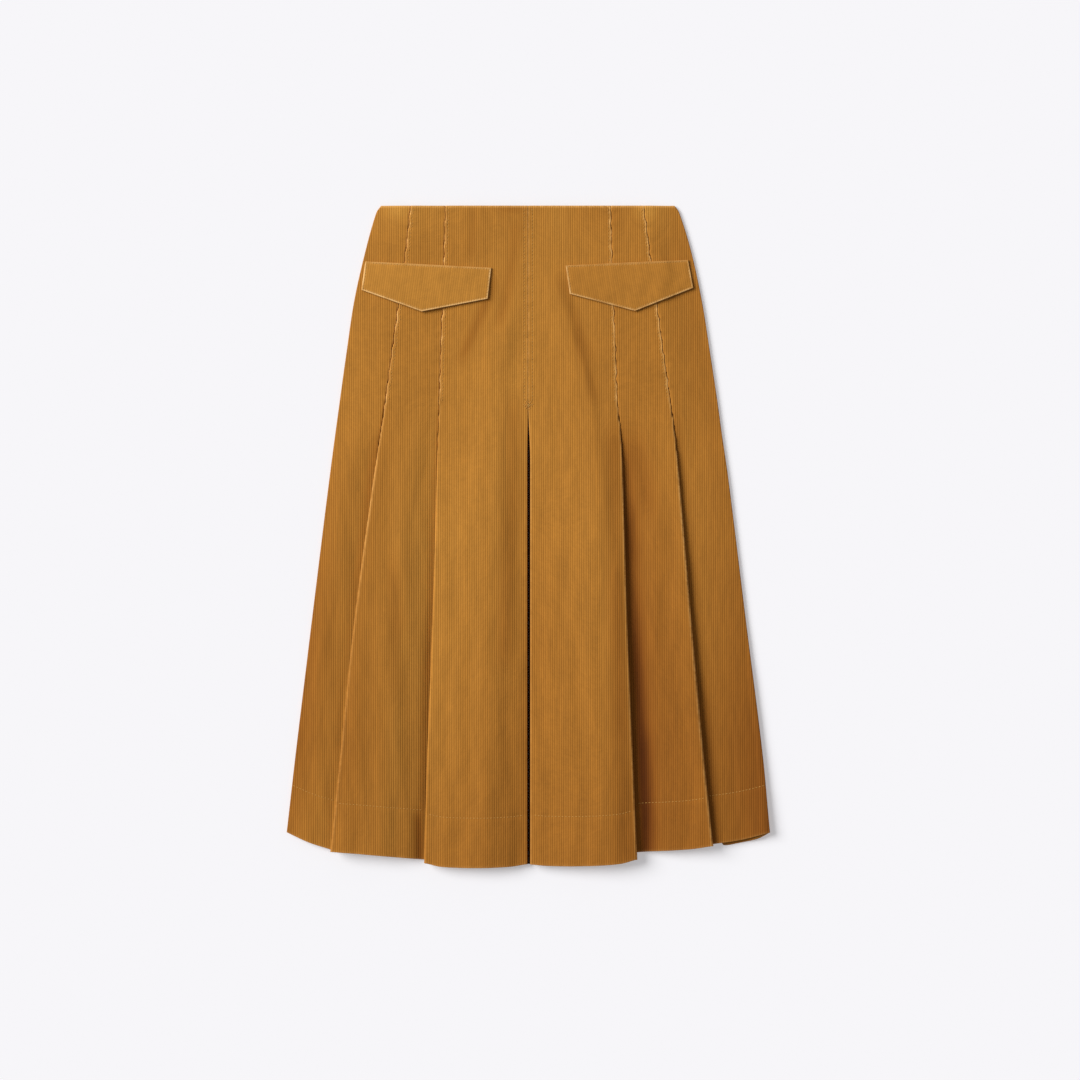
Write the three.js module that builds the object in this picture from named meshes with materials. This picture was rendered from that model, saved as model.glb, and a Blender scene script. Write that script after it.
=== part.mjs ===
// A pleated corduroy midi skirt, laid flat on a table with its front up, in millimetres.
// +Y runs from the hem to the waist, +X to the right of someone looking down at the front, and +Z
// away from the table. The origin is the middle of the underside: z = 0 is the table, y = 0 is half
// way down the skirt, and x = 0 is the centre front.
//
// The front is cut in two halves. Each half is one length of cloth that runs from the side seam
// to the centre front with three folded pleats in it: an outer and an inner knife pleat, whose
// edges face the side seam, and half of the inverted pleat at the centre front. The pleats are
// stitched down from the waist to RELEASE and hang open below it. The back is two plain halves,
// and a pointed flap lies across each front half.

import * as THREE from "three";

// Driving dimensions.
const LENGTH = 800; // waist edge to the lowest point of the hem
const CLOTH = 1.3; // thickness of the corduroy
const FLAP_CLOTH = 2.2; // thickness of a flap, which is two layers
const SEAM_GAP = 0.3; // what parts two pieces that are sewn or lie together
const LAYER_PITCH = 1.7; // from the middle of one pressed layer to the middle of the next
const RELEASE = 240; // how far down from the waist the pleats are stitched
const TAUT_FADE = 90; // below that, how far it takes the cloth between the pleats to relax
const SEAM_DIVE = 0.6; // the width over which taut cloth goes down beside a stitched edge
const SIDE_LENGTH = 757.5; // waist edge to hem along the side seam
const HALF_SWEEP = 292; // centre front to side seam at the hem

// Straight steps along each stretch of a front half, and round each folded edge.
const SIDE_STEPS = 6;
const MIDDLE_STEPS = 8;
const CENTRE_STEPS = 12;
const RETURN_STEPS = 4;
const TURN_STEPS = 4;
const RING_STEPS = 16; // rings of points from the waist to the hem
const RING_CROWDING = 1.4; // over 1, the rings lie closer together towards the waist

// The middle of the lowest front layer, where it lies on the back.
const BASE = CLOTH + SEAM_GAP + CLOTH / 2;

// How far each side seam and pleat edge lies from the centre front, down the skirt. The outer
// and inner columns are the two knife-pleat edges.
const LEFT_LAY = [
  { down: 0, edge: 178, outer: 142, inner: 100 },
  { down: 8, edge: 183.6, outer: 142.9, inner: 100.2 },
  { down: 55, edge: 197, outer: 148, inner: 101.5 },
  { down: 115, edge: 210.5, outer: 156, inner: 103.4 },
  { down: 175, edge: 219.5, outer: 164.5, inner: 105.6 },
  { down: RELEASE, edge: 228.5, outer: 173.2, inner: 107.7 },
  { down: 330, edge: 240.5, outer: 187, inner: 110.6 },
  { down: 500, edge: 261.5, outer: 209.8, inner: 115.6 },
  { down: 665, edge: 281.5, outer: 227, inner: 122 },
  { down: SIDE_LENGTH, edge: HALF_SWEEP, outer: 236.4, inner: 124.8 },
  { down: LENGTH, edge: 297, outer: 241, inner: 125.8 },
];
const RIGHT_LAY = [
  { down: 0, edge: 177, outer: 140, inner: 100 },
  { down: 8, edge: 182.5, outer: 141, inner: 100.2 },
  { down: 55, edge: 197, outer: 147, inner: 101.4 },
  { down: 115, edge: 210, outer: 155.1, inner: 103.5 },
  { down: 175, edge: 219.5, outer: 163.4, inner: 105.9 },
  { down: RELEASE, edge: 229.3, outer: 172.6, inner: 108.3 },
  { down: 275, edge: 234, outer: 177.2, inner: 112 },
  { down: 330, edge: 242, outer: 182.6, inner: 114.4 },
  { down: 500, edge: 263, outer: 196.9, inner: 119.4 },
  { down: 665, edge: 283.5, outer: 212, inner: 125.4 },
  { down: SIDE_LENGTH, edge: HALF_SWEEP, outer: 221.6, inner: 129.1 },
  { down: LENGTH, edge: 297, outer: 226.5, inner: 131 },
];

// Waist edge to hem across each panel that shows, from its outer edge, at share 0, to its inner
// one, at share 1. The hem steps from one panel to the next, since each is folded over another.
const LEFT_HEM = {
  side: [
    { share: 0, length: SIDE_LENGTH },
    { share: 0.5, length: 769.5 },
    { share: 1, length: 778.5 },
  ],
  middle: [
    { share: 0, length: 780.5 },
    { share: 0.4, length: 784 },
    { share: 1, length: 790.5 },
  ],
  centre: [
    { share: 0, length: 794.5 },
    { share: 0.15, length: 798.6 },
    { share: 0.5, length: LENGTH },
    { share: 0.85, length: 798.6 },
    { share: 1, length: 796 },
  ],
};
const RIGHT_HEM = {
  side: [
    { share: 0, length: SIDE_LENGTH },
    { share: 0.5, length: 766.5 },
    { share: 1, length: 771.5 },
  ],
  middle: [
    { share: 0, length: 773.5 },
    { share: 0.3, length: 777.5 },
    { share: 1, length: 781.5 },
  ],
  centre: [
    { share: 0, length: 790 },
    { share: 0.15, length: 794.8 },
    { share: 0.5, length: 797.6 },
    { share: 0.85, length: 797.6 },
    { share: 1, length: 796 },
  ],
};

// How far each pleat edge stands up at the hem above where pressed layers would lie, how high the
// side panel crowns, or sags where it is below 0, and how far the middle panel rolls down to its
// outer edge.
const LEFT_LIFT = { outer: 6.4, inner: 6, centre: 2, sideCrown: 2.4, outerRoll: 0.6 };
const RIGHT_LIFT = { outer: 4.5, inner: 6.4, centre: 4.6, sideCrown: -0.9, outerRoll: 0 };
const ROLL_WIDTH = 9;

// How much of its outer edge's lift each middle panel keeps, from its outer edge, at share 0, to
// where it goes under the centre panel, at share 1.
const LEFT_MIDDLE = [
  { share: 0, part: 1 },
  { share: 0.35, part: 0.96 },
  { share: 0.7, part: 0.9 },
  { share: 0.88, part: 0.6 },
  { share: 1, part: 0 },
];
const RIGHT_MIDDLE = [
  { share: 0, part: 1 },
  { share: 0.2, part: 0.66 },
  { share: 0.5, part: 0.28 },
  { share: 0.8, part: 0 },
  { share: 1, part: 0.35 },
];

// How far each centre panel stands off a straight line between its two edges, at the hem, from
// the inner knife-pleat edge, at share 0, to the centre edge, at share 1. The left one falls off
// to its centre edge, and the right one rolls down to its knife-pleat edge.
const LEFT_CROWN = [
  { share: 0, rise: 0 },
  { share: 0.2, rise: 1.6 },
  { share: 0.4, rise: 3.3 },
  { share: 0.58, rise: 4.6 },
  { share: 0.7, rise: 4.1 },
  { share: 0.82, rise: 2.6 },
  { share: 0.92, rise: 1 },
  { share: 1, rise: 0 },
];
const RIGHT_CROWN = [
  { share: 0, rise: 0 },
  { share: 0.05, rise: 1.3 },
  { share: 0.12, rise: 2.7 },
  { share: 0.2, rise: 3.7 },
  { share: 0.3, rise: 4.3 },
  { share: 0.45, rise: 4.1 },
  { share: 0.7, rise: 2.3 },
  { share: 1, rise: 0 },
];

// How far the whole folded front stands off the back at the hem, by its share of the way from
// the centre front, at 0, to the side seam, at 1.
const LEFT_LOFT = [
  { share: 0, rise: 0 },
  { share: 0.42, rise: 0.8 },
  { share: 0.6, rise: 2 },
  { share: 0.8, rise: 2.6 },
  { share: 0.92, rise: 1.8 },
  { share: 1, rise: 0 },
];
const RIGHT_LOFT = [
  { share: 0, rise: 0 },
  { share: 0.3, rise: 0.5 },
  { share: 0.44, rise: 2 },
  { share: 0.58, rise: 4.2 },
  { share: 0.76, rise: 5.8 },
  { share: 0.88, rise: 4 },
  { share: 1, rise: 0 },
];

// How far the side seam, with the front and the back that meet in it, stands off the table.
const LEFT_SEAM_RISE = [
  { down: 0, rise: 0.4 },
  { down: RELEASE, rise: 0.6 },
  { down: 500, rise: 0.8 },
  { down: 690, rise: 1.1 },
  { down: LENGTH, rise: 2 },
];
const RIGHT_SEAM_RISE = [
  { down: 0, rise: 0.6 },
  { down: RELEASE, rise: 1 },
  { down: 500, rise: 1.6 },
  { down: 690, rise: 3.4 },
  { down: LENGTH, rise: 8 },
];
const SEAM_REACH = 40; // how far in from the side seam it carries the cloth up with it

// How deep each pleat is folded under, at the waist and at the hem.
const OUTER_DEPTH = { waist: 17, hem: 50 };
const INNER_DEPTH = { waist: 37, hem: 52 };
const CENTRE_DEPTH = { waist: 38, hem: 58 };

// How much rounder a knife-pleat edge and a centre edge are at the hem than where pressed.
const KNIFE_SOFTNESS = 1.2;
const CENTRE_SOFTNESS = 0.4;
const CENTRE_OPENING = 1.6; // half the slit between the two centre edges, once it is open

// Waist edge to hem across each back half, from the side seam to the centre back. On the right
// the back hem shows for a short way below the front one.
const LEFT_BACK_HEM = [
  { share: 1, length: SIDE_LENGTH },
  { share: 0.95, length: 760 },
  { share: 0.9, length: 762 },
  { share: 0.84, length: 764 },
  { share: 0.7, length: 768 },
  { share: 0.4, length: 777 },
  { share: 0, length: 786 },
];
const RIGHT_BACK_HEM = [
  { share: 1, length: SIDE_LENGTH },
  { share: 0.95, length: 765.3 },
  { share: 0.88, length: 770.2 },
  { share: 0.81, length: 773.4 },
  { share: 0.795, length: 768.5 },
  { share: 0.4, length: 777 },
  { share: 0, length: 786 },
];

// The corners of each pocket flap: distance from the centre front, and down from the waist.
const LEFT_FLAP = {
  outerTop: { dist: 197, down: 67.4 },
  innerTop: { dist: 44.5, down: 75.3 },
  innerLow: { dist: 48.8, down: 112.9 },
  point: { dist: 128.6, down: 128.3 },
  outerLow: { dist: 201.7, down: 102 },
};
const RIGHT_FLAP = {
  outerTop: { dist: 193.4, down: 65.6 },
  innerTop: { dist: 45.1, down: 72.4 },
  innerLow: { dist: 50.1, down: 107 },
  point: { dist: 129.1, down: 127.7 },
  outerLow: { dist: 199.5, down: 99.6 },
};
const FLAP_COLUMNS = 7; // steps from each end of a flap to its point
const FLAP_ROWS = 4;
const FLAP_FALL = 26; // the width over which a flap comes down from the pleats to the side panel
const FLAP_LIFT = 1; // how far the loose lower edge of a flap stands off the front

const CORDUROY = { color: 0xa96f2e, roughness: 0.92, metalness: 0 };
const FLAP_CORDUROY = { color: 0xb27a36, roughness: 0.9, metalness: 0 };

const mix = (a, b, share) => a + (b - a) * share;
const clamp = (share) => Math.min(1, Math.max(0, share));
const ease = (share) => clamp(share) ** 2 * (3 - 2 * clamp(share));
const deepAt = (depth, down) => mix(depth.waist, depth.hem, down / LENGTH);

// One column of a table at any place between its rows, as a smooth curve through them.
function between(rows, key, column, place) {
  const rising = rows[0][key] < rows[rows.length - 1][key];
  const order = rising ? rows : [...rows].reverse();
  let k = order.findIndex((row) => row[key] > place);
  if (k < 0) k = order.length - 1;
  k = Math.max(1, k);
  const [a, b] = [order[k - 1], order[k]];
  const [before, after] = [order[Math.max(0, k - 2)], order[Math.min(order.length - 1, k + 1)]];
  const span = b[key] - a[key];
  const s = (place - a[key]) / span;
  const slopeA = ((b[column] - before[column]) / (b[key] - before[key])) * span;
  const slopeB = ((after[column] - a[column]) / (after[key] - a[key])) * span;
  return (
    a[column] * (2 * s ** 3 - 3 * s ** 2 + 1) +
    slopeA * (s ** 3 - 2 * s ** 2 + s) +
    b[column] * (3 * s ** 2 - 2 * s ** 3) +
    slopeB * (s ** 3 - s ** 2)
  );
}

// 0 where the pleats are stitched down, rising to 1 at the hem.
function opening(down) {
  const below = clamp((down - RELEASE) / (LENGTH - RELEASE));
  return 1 - (1 - below) ** 3;
}

// 1 where the cloth is pulled taut between the stitched edges, falling to 0 below them.
const tautAt = (down) => 1 - ease((down - RELEASE) / TAUT_FADE);

// How far the side seam carries the cloth beside it off the table, at one place.
function seamRise(half, dist, down) {
  const inward = between(half.lay, "down", "edge", down) - dist;
  return between(half.seamRise, "down", "rise", down) * ease(1 - inward / SEAM_REACH);
}

// How far the folded front is carried off where pressed layers would lie, at one place.
function frontRise(half, dist, down) {
  const share = clamp(dist / between(half.lay, "down", "edge", down));
  return opening(down) * between(half.loft, "share", "rise", share) + seamRise(half, dist, down);
}

// The heights and places of one front half's folds and panels, at one distance down.
function sectionAt(half, down) {
  const open = opening(down);
  const pressed = BASE + 2 * LAYER_PITCH;
  const fold = (edge, depth, lift, softness) => {
    const radius = LAYER_PITCH / 2 + softness * open;
    const top = pressed + lift * open;
    return {
      edge,
      axis: edge - Math.sign(depth) * (radius + CLOTH / 2),
      radius,
      top,
      under: top - 2 * radius,
      inside: edge - depth + (Math.sign(depth) * LAYER_PITCH) / 2,
    };
  };
  const slit = mix(SEAM_GAP / 2, CENTRE_OPENING, ease(open * 3));
  return {
    open,
    pressed,
    taut: tautAt(down),
    edge: between(half.lay, "down", "edge", down),
    outer: fold(
      between(half.lay, "down", "outer", down),
      deepAt(OUTER_DEPTH, down),
      half.lift.outer,
      KNIFE_SOFTNESS,
    ),
    inner: fold(
      between(half.lay, "down", "inner", down),
      deepAt(INNER_DEPTH, down),
      half.lift.inner,
      KNIFE_SOFTNESS,
    ),
    centre: fold(slit, -deepAt(CENTRE_DEPTH, down), half.lift.centre, CENTRE_SOFTNESS),
  };
}

// Heights across the three panels that show. Each share runs from the panel's outer edge, at 0,
// to its inner one, at 1. Taut cloth lies as high as the stitched edge beside it, and only goes
// down to pass under that edge where it meets it.
function sidePanelHeight(half, section, share) {
  const toSeam = (1 - share) * (section.edge - section.outer.edge);
  const bridge = 2 * LAYER_PITCH * section.taut * ease(share) * ease(toSeam / SEAM_DIVE);
  const crown = half.lift.sideCrown * mix(0.35, 1, section.open) * Math.sin(Math.PI * share);
  return BASE + bridge + crown;
}
function middlePanelHeight(half, section, share) {
  const width = section.outer.axis - section.inner.edge;
  const level = (section.outer.axis - section.outer.inside + LAYER_PITCH) / width;
  const looseFall = 1 - ease((share - level) / (1 - level));
  const tautFall = ease(((1 - share) * width) / SEAM_DIVE);
  const layers = 2 * LAYER_PITCH * mix(looseFall, tautFall, section.taut);
  const lift = half.lift.outer + half.lift.outerRoll * ease((share * width) / ROLL_WIDTH);
  return BASE + layers + lift * section.open * between(half.middle, "share", "part", share);
}
function centrePanelHeight(half, section, share) {
  const crown = between(half.crown, "share", "rise", share) * section.open;
  return mix(section.inner.top, section.centre.top, share) + crown;
}

// The middle of the cloth of one front half, from the side seam in to the centre front and
// through every fold, at one share of the way from the waist to the hem.
function frontRing(half, v) {
  const ring = [];
  const add = (length, place) => {
    const down = v * length;
    const [dist, height] = place(sectionAt(half, down));
    ring.push({ dist, height: height + frontRise(half, dist, down), down });
  };
  // A stretch of cloth in even steps, both ends included.
  const run = (steps, lengthAt, place) => {
    for (let k = 0; k <= steps; k++) add(lengthAt(k / steps), (section) => place(section, k / steps));
  };
  // Half a circle of cloth round a fold. It bulges away from the centre front where bulge is 1,
  // and the cloth climbs round it where climb is 1.
  const turn = (length, middleOf, bulge, climb) => {
    for (let k = 1; k < TURN_STEPS; k++) {
      const angle = (Math.PI * k) / TURN_STEPS;
      add(length, (section) => {
        const [axis, height, radius] = middleOf(section);
        const dist = axis + bulge * radius * Math.sin(angle);
        return [dist, height - climb * radius * Math.cos(angle)];
      });
    }
  };
  const insideTurn = (fold) => [fold.inside, BASE + LAYER_PITCH / 2, LAYER_PITCH / 2];
  const edgeTurn = (fold) => [fold.axis, fold.top - fold.radius, fold.radius];
  const returnHeight = (fold, share) => mix(BASE + LAYER_PITCH, fold.under, ease(share));
  const hemOf = (panel) => (share) => between(half.hem[panel], "share", "length", share);
  // A knife pleat: on under the next panel, round, back out to the fold's edge, and round that.
  const knifePleat = (key, underLength, overLength) => {
    add(underLength, (section) => [section[key].inside, BASE]);
    turn(underLength, (section) => insideTurn(section[key]), -1, 1);
    const lengthAt = (share) => mix(underLength, overLength, share);
    run(RETURN_STEPS, lengthAt, (section, share) => {
      const fold = section[key];
      return [mix(fold.inside, fold.axis, share), returnHeight(fold, share)];
    });
    turn(overLength, (section) => edgeTurn(section[key]), 1, 1);
  };
  const [sideHem, middleHem, centreHem] = [hemOf("side"), hemOf("middle"), hemOf("centre")];

  run(SIDE_STEPS, sideHem, (s, share) => [
    mix(s.edge, s.outer.edge, share),
    sidePanelHeight(half, s, share),
  ]);
  knifePleat("outer", sideHem(1), middleHem(0));
  run(MIDDLE_STEPS, middleHem, (s, share) => [
    mix(s.outer.axis, s.inner.edge, share),
    middlePanelHeight(half, s, share),
  ]);
  knifePleat("inner", middleHem(1), centreHem(0));
  run(CENTRE_STEPS, centreHem, (s, share) => [
    mix(s.inner.axis, s.centre.axis, share),
    centrePanelHeight(half, s, share),
  ]);
  // The inverted pleat: round its edge, back out behind the panel, and in again to the seam.
  const centreLength = centreHem(1);
  turn(centreLength, (s) => edgeTurn(s.centre), -1, -1);
  run(RETURN_STEPS, () => centreLength, (s, share) => [
    mix(s.centre.axis, s.centre.inside, share),
    returnHeight(s.centre, 1 - share),
  ]);
  turn(centreLength, (s) => insideTurn(s.centre), 1, -1);
  run(1, () => centreLength, (s, share) => [mix(s.centre.inside, SEAM_GAP / 2, share), BASE]);
  return ring;
}

// The middle of the cloth of one back half, flat on the table but for the side seam.
function backRing(half, v) {
  const ring = [];
  for (const { share, length } of half.backHem) {
    const down = v * length;
    const dist = mix(SEAM_GAP / 2, between(half.lay, "down", "edge", down), share);
    ring.push({ dist, height: CLOTH / 2 + seamRise(half, dist, down), down });
  }
  return ring;
}

// The top of the front under a flap, smoothed over the steps at the stitched pleat edges.
function underFlapHeight(half, dist, down) {
  const section = sectionAt(half, down);
  const share = (section.edge - dist) / (section.edge - section.outer.edge);
  const side = share < 1 ? sidePanelHeight(half, section, Math.max(0, share)) : BASE;
  const fall = ease((dist - section.outer.edge) / FLAP_FALL);
  return mix(section.pressed, side, fall) + CLOTH / 2 + seamRise(half, dist, down);
}

// The middle of one flap, from its outer end to its inner one, at one share of its height.
function flapRing(half, v) {
  const corner = half.flap;
  const ring = [];
  for (let k = 0; k <= 2 * FLAP_COLUMNS; k++) {
    const across = k / (2 * FLAP_COLUMNS);
    const [from, to] = k < FLAP_COLUMNS ? ["outerLow", "point"] : ["point", "innerLow"];
    const share = (k % FLAP_COLUMNS) / FLAP_COLUMNS + (k === 2 * FLAP_COLUMNS ? 1 : 0);
    const low = (key) => mix(corner[from][key], corner[to][key], share);
    const high = (key) => mix(corner.outerTop[key], corner.innerTop[key], across);
    const dist = mix(high("dist"), low("dist"), v);
    const down = mix(high("down"), low("down"), v);
    const lifted = SEAM_GAP + FLAP_CLOTH / 2 + FLAP_LIFT * v ** 2;
    ring.push({ dist, height: underFlapHeight(half, dist, down) + lifted, down });
  }
  return ring;
}

// The direction square to a ring at one of its points, towards the wrong side of the cloth.
function wrongSide(ring, k) {
  const [a, b] = [ring[Math.max(0, k - 1)], ring[Math.min(ring.length - 1, k + 1)]];
  const p = ring[k];
  const unit = (from, to) => {
    const [along, up] = [to.dist - from.dist, to.height - from.height];
    const size = Math.hypot(along, up) || 1;
    return [along / size, up / size];
  };
  const [before, after] = [unit(a, p), unit(p, b)];
  const [along, up] = [before[0] + after[0], before[1] + after[1]];
  const size = Math.hypot(along, up);
  return [-up / size, along / size];
}

// A closed wall of cloth through rings of middle points that all have the same number of points.
// Distances from the centre front become x on the side that sign gives.
function clothWall(rings, thickness, sign) {
  const count = rings[0].length;
  const around = 2 * count;
  const position = [];
  for (const ring of rings) {
    const face = (offset) =>
      ring.map((p, k) => {
        const [along, up] = wrongSide(ring, k);
        return [sign * (p.dist + along * offset), LENGTH / 2 - p.down, p.height + up * offset];
      });
    const [right, wrong] = [face(-thickness / 2), face(thickness / 2)];
    position.push(...[...right, ...wrong.reverse()].flat());
  }
  const index = [];
  const quad = (a, b, c, d) => (sign > 0 ? index.push(a, b, c, a, c, d) : index.push(c, b, a, d, c, a));
  for (let j = 0; j < rings.length - 1; j++) {
    for (let k = 0; k < around; k++) {
      const [here, next] = [j * around + k, j * around + ((k + 1) % around)];
      quad(here, next, next + around, here + around);
    }
  }
  const last = (rings.length - 1) * around;
  for (let k = 0; k < count - 1; k++) {
    const [a, b, c, d] = [k, k + 1, around - 2 - k, around - 1 - k];
    quad(d, c, b, a);
    quad(last + a, last + b, last + c, last + d);
  }
  const geometry = new THREE.BufferGeometry();
  geometry.setAttribute("position", new THREE.Float32BufferAttribute(position, 3));
  geometry.setIndex(index);
  geometry.computeVertexNormals();
  return geometry;
}

function piece(name, ringAt, steps, half, thickness, look) {
  const rings = [];
  for (let j = 0; j <= steps; j++) rings.push(ringAt(half, (j / steps) ** RING_CROWDING));
  const material = new THREE.MeshStandardMaterial({ ...look, side: THREE.DoubleSide });
  const mesh = new THREE.Mesh(clothWall(rings, thickness, half.sign), material);
  mesh.name = name;
  return mesh;
}

const HALVES = [
  {
    name: "left",
    sign: -1,
    lay: LEFT_LAY,
    hem: LEFT_HEM,
    backHem: LEFT_BACK_HEM,
    lift: LEFT_LIFT,
    middle: LEFT_MIDDLE,
    crown: LEFT_CROWN,
    loft: LEFT_LOFT,
    seamRise: LEFT_SEAM_RISE,
    flap: LEFT_FLAP,
  },
  {
    name: "right",
    sign: 1,
    lay: RIGHT_LAY,
    hem: RIGHT_HEM,
    backHem: RIGHT_BACK_HEM,
    lift: RIGHT_LIFT,
    middle: RIGHT_MIDDLE,
    crown: RIGHT_CROWN,
    loft: RIGHT_LOFT,
    seamRise: RIGHT_SEAM_RISE,
    flap: RIGHT_FLAP,
  },
];

const skirt = new THREE.Group();
for (const half of HALVES) {
  skirt.add(piece("front_" + half.name, frontRing, RING_STEPS, half, CLOTH, CORDUROY));
  skirt.add(piece("back_" + half.name, backRing, RING_STEPS, half, CLOTH, CORDUROY));
  skirt.add(piece("flap_" + half.name, flapRing, FLAP_ROWS, half, FLAP_CLOTH, FLAP_CORDUROY));
}

export default skirt;
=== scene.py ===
"""A pleated corduroy skirt laid flat with its front up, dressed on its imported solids.

Sizes are in millimetres until a vertex is made. Places on the skirt are given as a distance from
the centre front and a distance down from the waist edge. Each piece of cloth is a thin closed
shell on the form of its solid, with the corduroy's ribs, creases and puckers raised on it.
"""

import logging
import math
from collections.abc import Iterable
from dataclasses import dataclass, field
from enum import Enum
from functools import reduce

import bmesh
import bpy
import numpy as np
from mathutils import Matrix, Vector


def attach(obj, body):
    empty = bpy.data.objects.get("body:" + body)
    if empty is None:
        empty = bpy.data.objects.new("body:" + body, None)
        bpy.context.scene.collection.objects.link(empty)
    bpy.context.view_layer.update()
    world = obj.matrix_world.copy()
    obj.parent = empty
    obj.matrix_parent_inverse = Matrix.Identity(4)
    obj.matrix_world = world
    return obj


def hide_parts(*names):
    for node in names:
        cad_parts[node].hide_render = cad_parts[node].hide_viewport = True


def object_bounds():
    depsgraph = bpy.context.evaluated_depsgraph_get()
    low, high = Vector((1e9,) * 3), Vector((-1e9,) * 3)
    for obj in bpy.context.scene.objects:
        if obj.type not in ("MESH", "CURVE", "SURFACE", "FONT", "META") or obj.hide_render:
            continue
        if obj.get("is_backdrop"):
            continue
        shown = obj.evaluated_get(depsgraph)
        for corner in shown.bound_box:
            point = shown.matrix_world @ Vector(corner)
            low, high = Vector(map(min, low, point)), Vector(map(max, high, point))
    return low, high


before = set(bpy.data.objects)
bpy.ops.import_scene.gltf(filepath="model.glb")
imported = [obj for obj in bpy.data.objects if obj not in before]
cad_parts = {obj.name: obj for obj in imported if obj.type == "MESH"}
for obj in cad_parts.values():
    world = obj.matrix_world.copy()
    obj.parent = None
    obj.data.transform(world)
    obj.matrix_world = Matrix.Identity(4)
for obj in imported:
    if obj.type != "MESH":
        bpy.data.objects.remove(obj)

logging.basicConfig(level=logging.INFO, format="%(message)s")
LOG = logging.getLogger("skirt")

Array = np.ndarray
Node = bpy.types.Node
Socket = bpy.types.NodeSocket
Colour = tuple[float, float, float]
Line = list[tuple[float, float, float]]
Row = tuple[Array, Array]

MM = 0.001
CAD_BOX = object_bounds()
LENGTH = round((CAD_BOX[1].y - CAD_BOX[0].y) / MM, 2)
SIDE_LENGTH = 757.5

# The walls, the gap between them and the distance from one pressed layer to the next.
CLOTH = 1.3
FLAP_CLOTH = 2.2
SEAM_GAP = 0.3
LAYER_PITCH = 1.7
BASE = CLOTH + SEAM_GAP + CLOTH / 2
PRESSED = BASE + 2 * LAYER_PITCH

# Where the pleats' stitching ends, and the length below it over which the cloth goes slack.
RELEASE = 240.0
TAUT_FADE = 90.0

# How deep each pleat is folded, at the waist and at the hem.
OUTER_DEPTH = (17.0, 50.0)
INNER_DEPTH = (37.0, 52.0)
CENTRE_DEPTH = (38.0, 58.0)

# How the folds and the seams lie: where the slit is sewn, how round a stitched fold is and how
# much rounder it is at the hem, and over what widths the cloth dives, rises, rolls and falls.
SEWN = 0.02
SEWN_RADIUS = 0.4
KNIFE_SOFTNESS = 1.2
CENTRE_SOFTNESS = 0.4
SEAM_DIVE = 0.6
SEAM_REACH = 40.0
ROLL_WIDTH = 9.0
FLAP_FALL = 26.0
FLAP_LIFT = 1.0

# The ribs, with the places within each, as parts of its pitch, that get points.
RIB_PITCH = 2.7
RIB_DEPTH = 0.3
RIB_PHASES = (0.0, 0.22, 0.5, 0.78)
FOLD_PHASES = tuple((step + 0.5) / 8 for step in range(8))

# The rows of stitches, as insets from a folded edge and as a share of the way to the hem.
STITCH_INSET = 3.6
CENTRE_STITCH = 5.0
HEM_STITCH = 0.9245
NO_STITCHES = -99.0
FURROW_DEPTH = 0.16
FURROW_WIDTH = 0.9
PUCKER_RISE = 0.27
PUCKER_REACH = 7.5

# How far stitched edges waver and at what wave lengths, and how high the open cloth ripples.
WAVER = 0.4
WAVER_LENGTHS = (3.7, 2.3)
WAVER_TURN = 1.7
RIPPLE_STITCHED = 0.08
RIPPLE_OPEN = 0.2
NARROW_RIPPLE_SHARE = 0.6

# Where each edge's dashes of rubbing and painted highlight begin and how strong they are, and
# where they are even and grow fainter below the stitching.
DASH_TURNS = {"outer": 0.0, "inner": 1.9, "centre": 4.0}
DASH_STRENGTHS = {"outer": 1.0, "inner": 1.0, "centre": 0.2}
EVEN_WEAR_AND_HIGHLIGHT = (RELEASE - 30, 60)
LOW_WEAR_AND_HIGHLIGHT = (350, 180)

# Rims: insets that get points, as lengths and as shares of the way down, and how much they are
# lightened by rubbing and by a painted highlight.
RIM_INSETS = (0.15, 0.4, 0.8, 1.3)
RIM = (0.00015, 0.0004, 0.0008)
RIM_ROOM = 0.08
WAIST_WEAR_AND_HIGHLIGHT = 0.75
HEM_WEAR_AND_HIGHLIGHT = 0.25

# The folded cloth under the pleats, how light the cloth is that isn't seen in the open, and the
# painted shade on the cloth folded under the pleats, darkest as painted shadow inside the slit.
HIDDEN_RADIUS = LAYER_PITCH / 2
HIDDEN_ANGLES = tuple(math.pi * step / 4 for step in (1, 2, 3))
HIDDEN_SHARES = (0.0, 0.25, 0.5, 0.75)
PLAIN_SHADE = 0.85
HIDDEN_PAINTED_SHADE = 0.6
SLIT_PAINTED_SHADOW = 0.08

# A bend that the wrong side follows, keys that count as equal, and values beyond any other.
BEND = 0.25
SAME_KEY = 1e-6
TINY = 1e-9
INSIDE = 99.0
FAR_KEY = 9999.0


def mix(a: Array | float, b: Array | float, share: Array | float) -> Array | float:
    """Return the value a share of the way from a to b."""
    return a + (b - a) * share


def ease(share: Array | float) -> Array | float:
    """Return a smooth step that is 0 below a share of 0 and 1 above a share of 1."""
    held = np.clip(share, 0.0, 1.0)
    return held * held * (3 - 2 * held)


def bell(off: Array | float, width: float) -> Array | float:
    """Return a soft bump that is 1 where off is 0 and fades away over a width."""
    return np.exp(-((off / width) ** 2))


def opening(down: Array | float) -> Array | float:
    """Return 0 where the pleats are stitched down, rising to 1 at the hem."""
    below = np.clip((down - RELEASE) / (LENGTH - RELEASE), 0.0, 1.0)
    return 1 - (1 - below) ** 3


def taut(down: Array | float) -> Array | float:
    """Return 1 where the cloth is taut between stitched edges, falling to 0 below them."""
    return 1 - ease((down - RELEASE) / TAUT_FADE)


def ribs(grain: Array) -> Array:
    """Return the depth of the corduroy's groove, from 0 on a rib to 1, across the grain."""
    phase = np.abs(np.mod(grain / RIB_PITCH + 0.5, 1) - 0.5) * 2
    return np.clip(1 - phase / 0.5, 0, 1) ** 1.2


def calm(end: float, inset: Array) -> Array:
    """Return how fully the ribs are formed, from 0 on the rims, where they are pressed flat."""
    return ease(end / 2.0) * ease(inset / 1.6)


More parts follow.
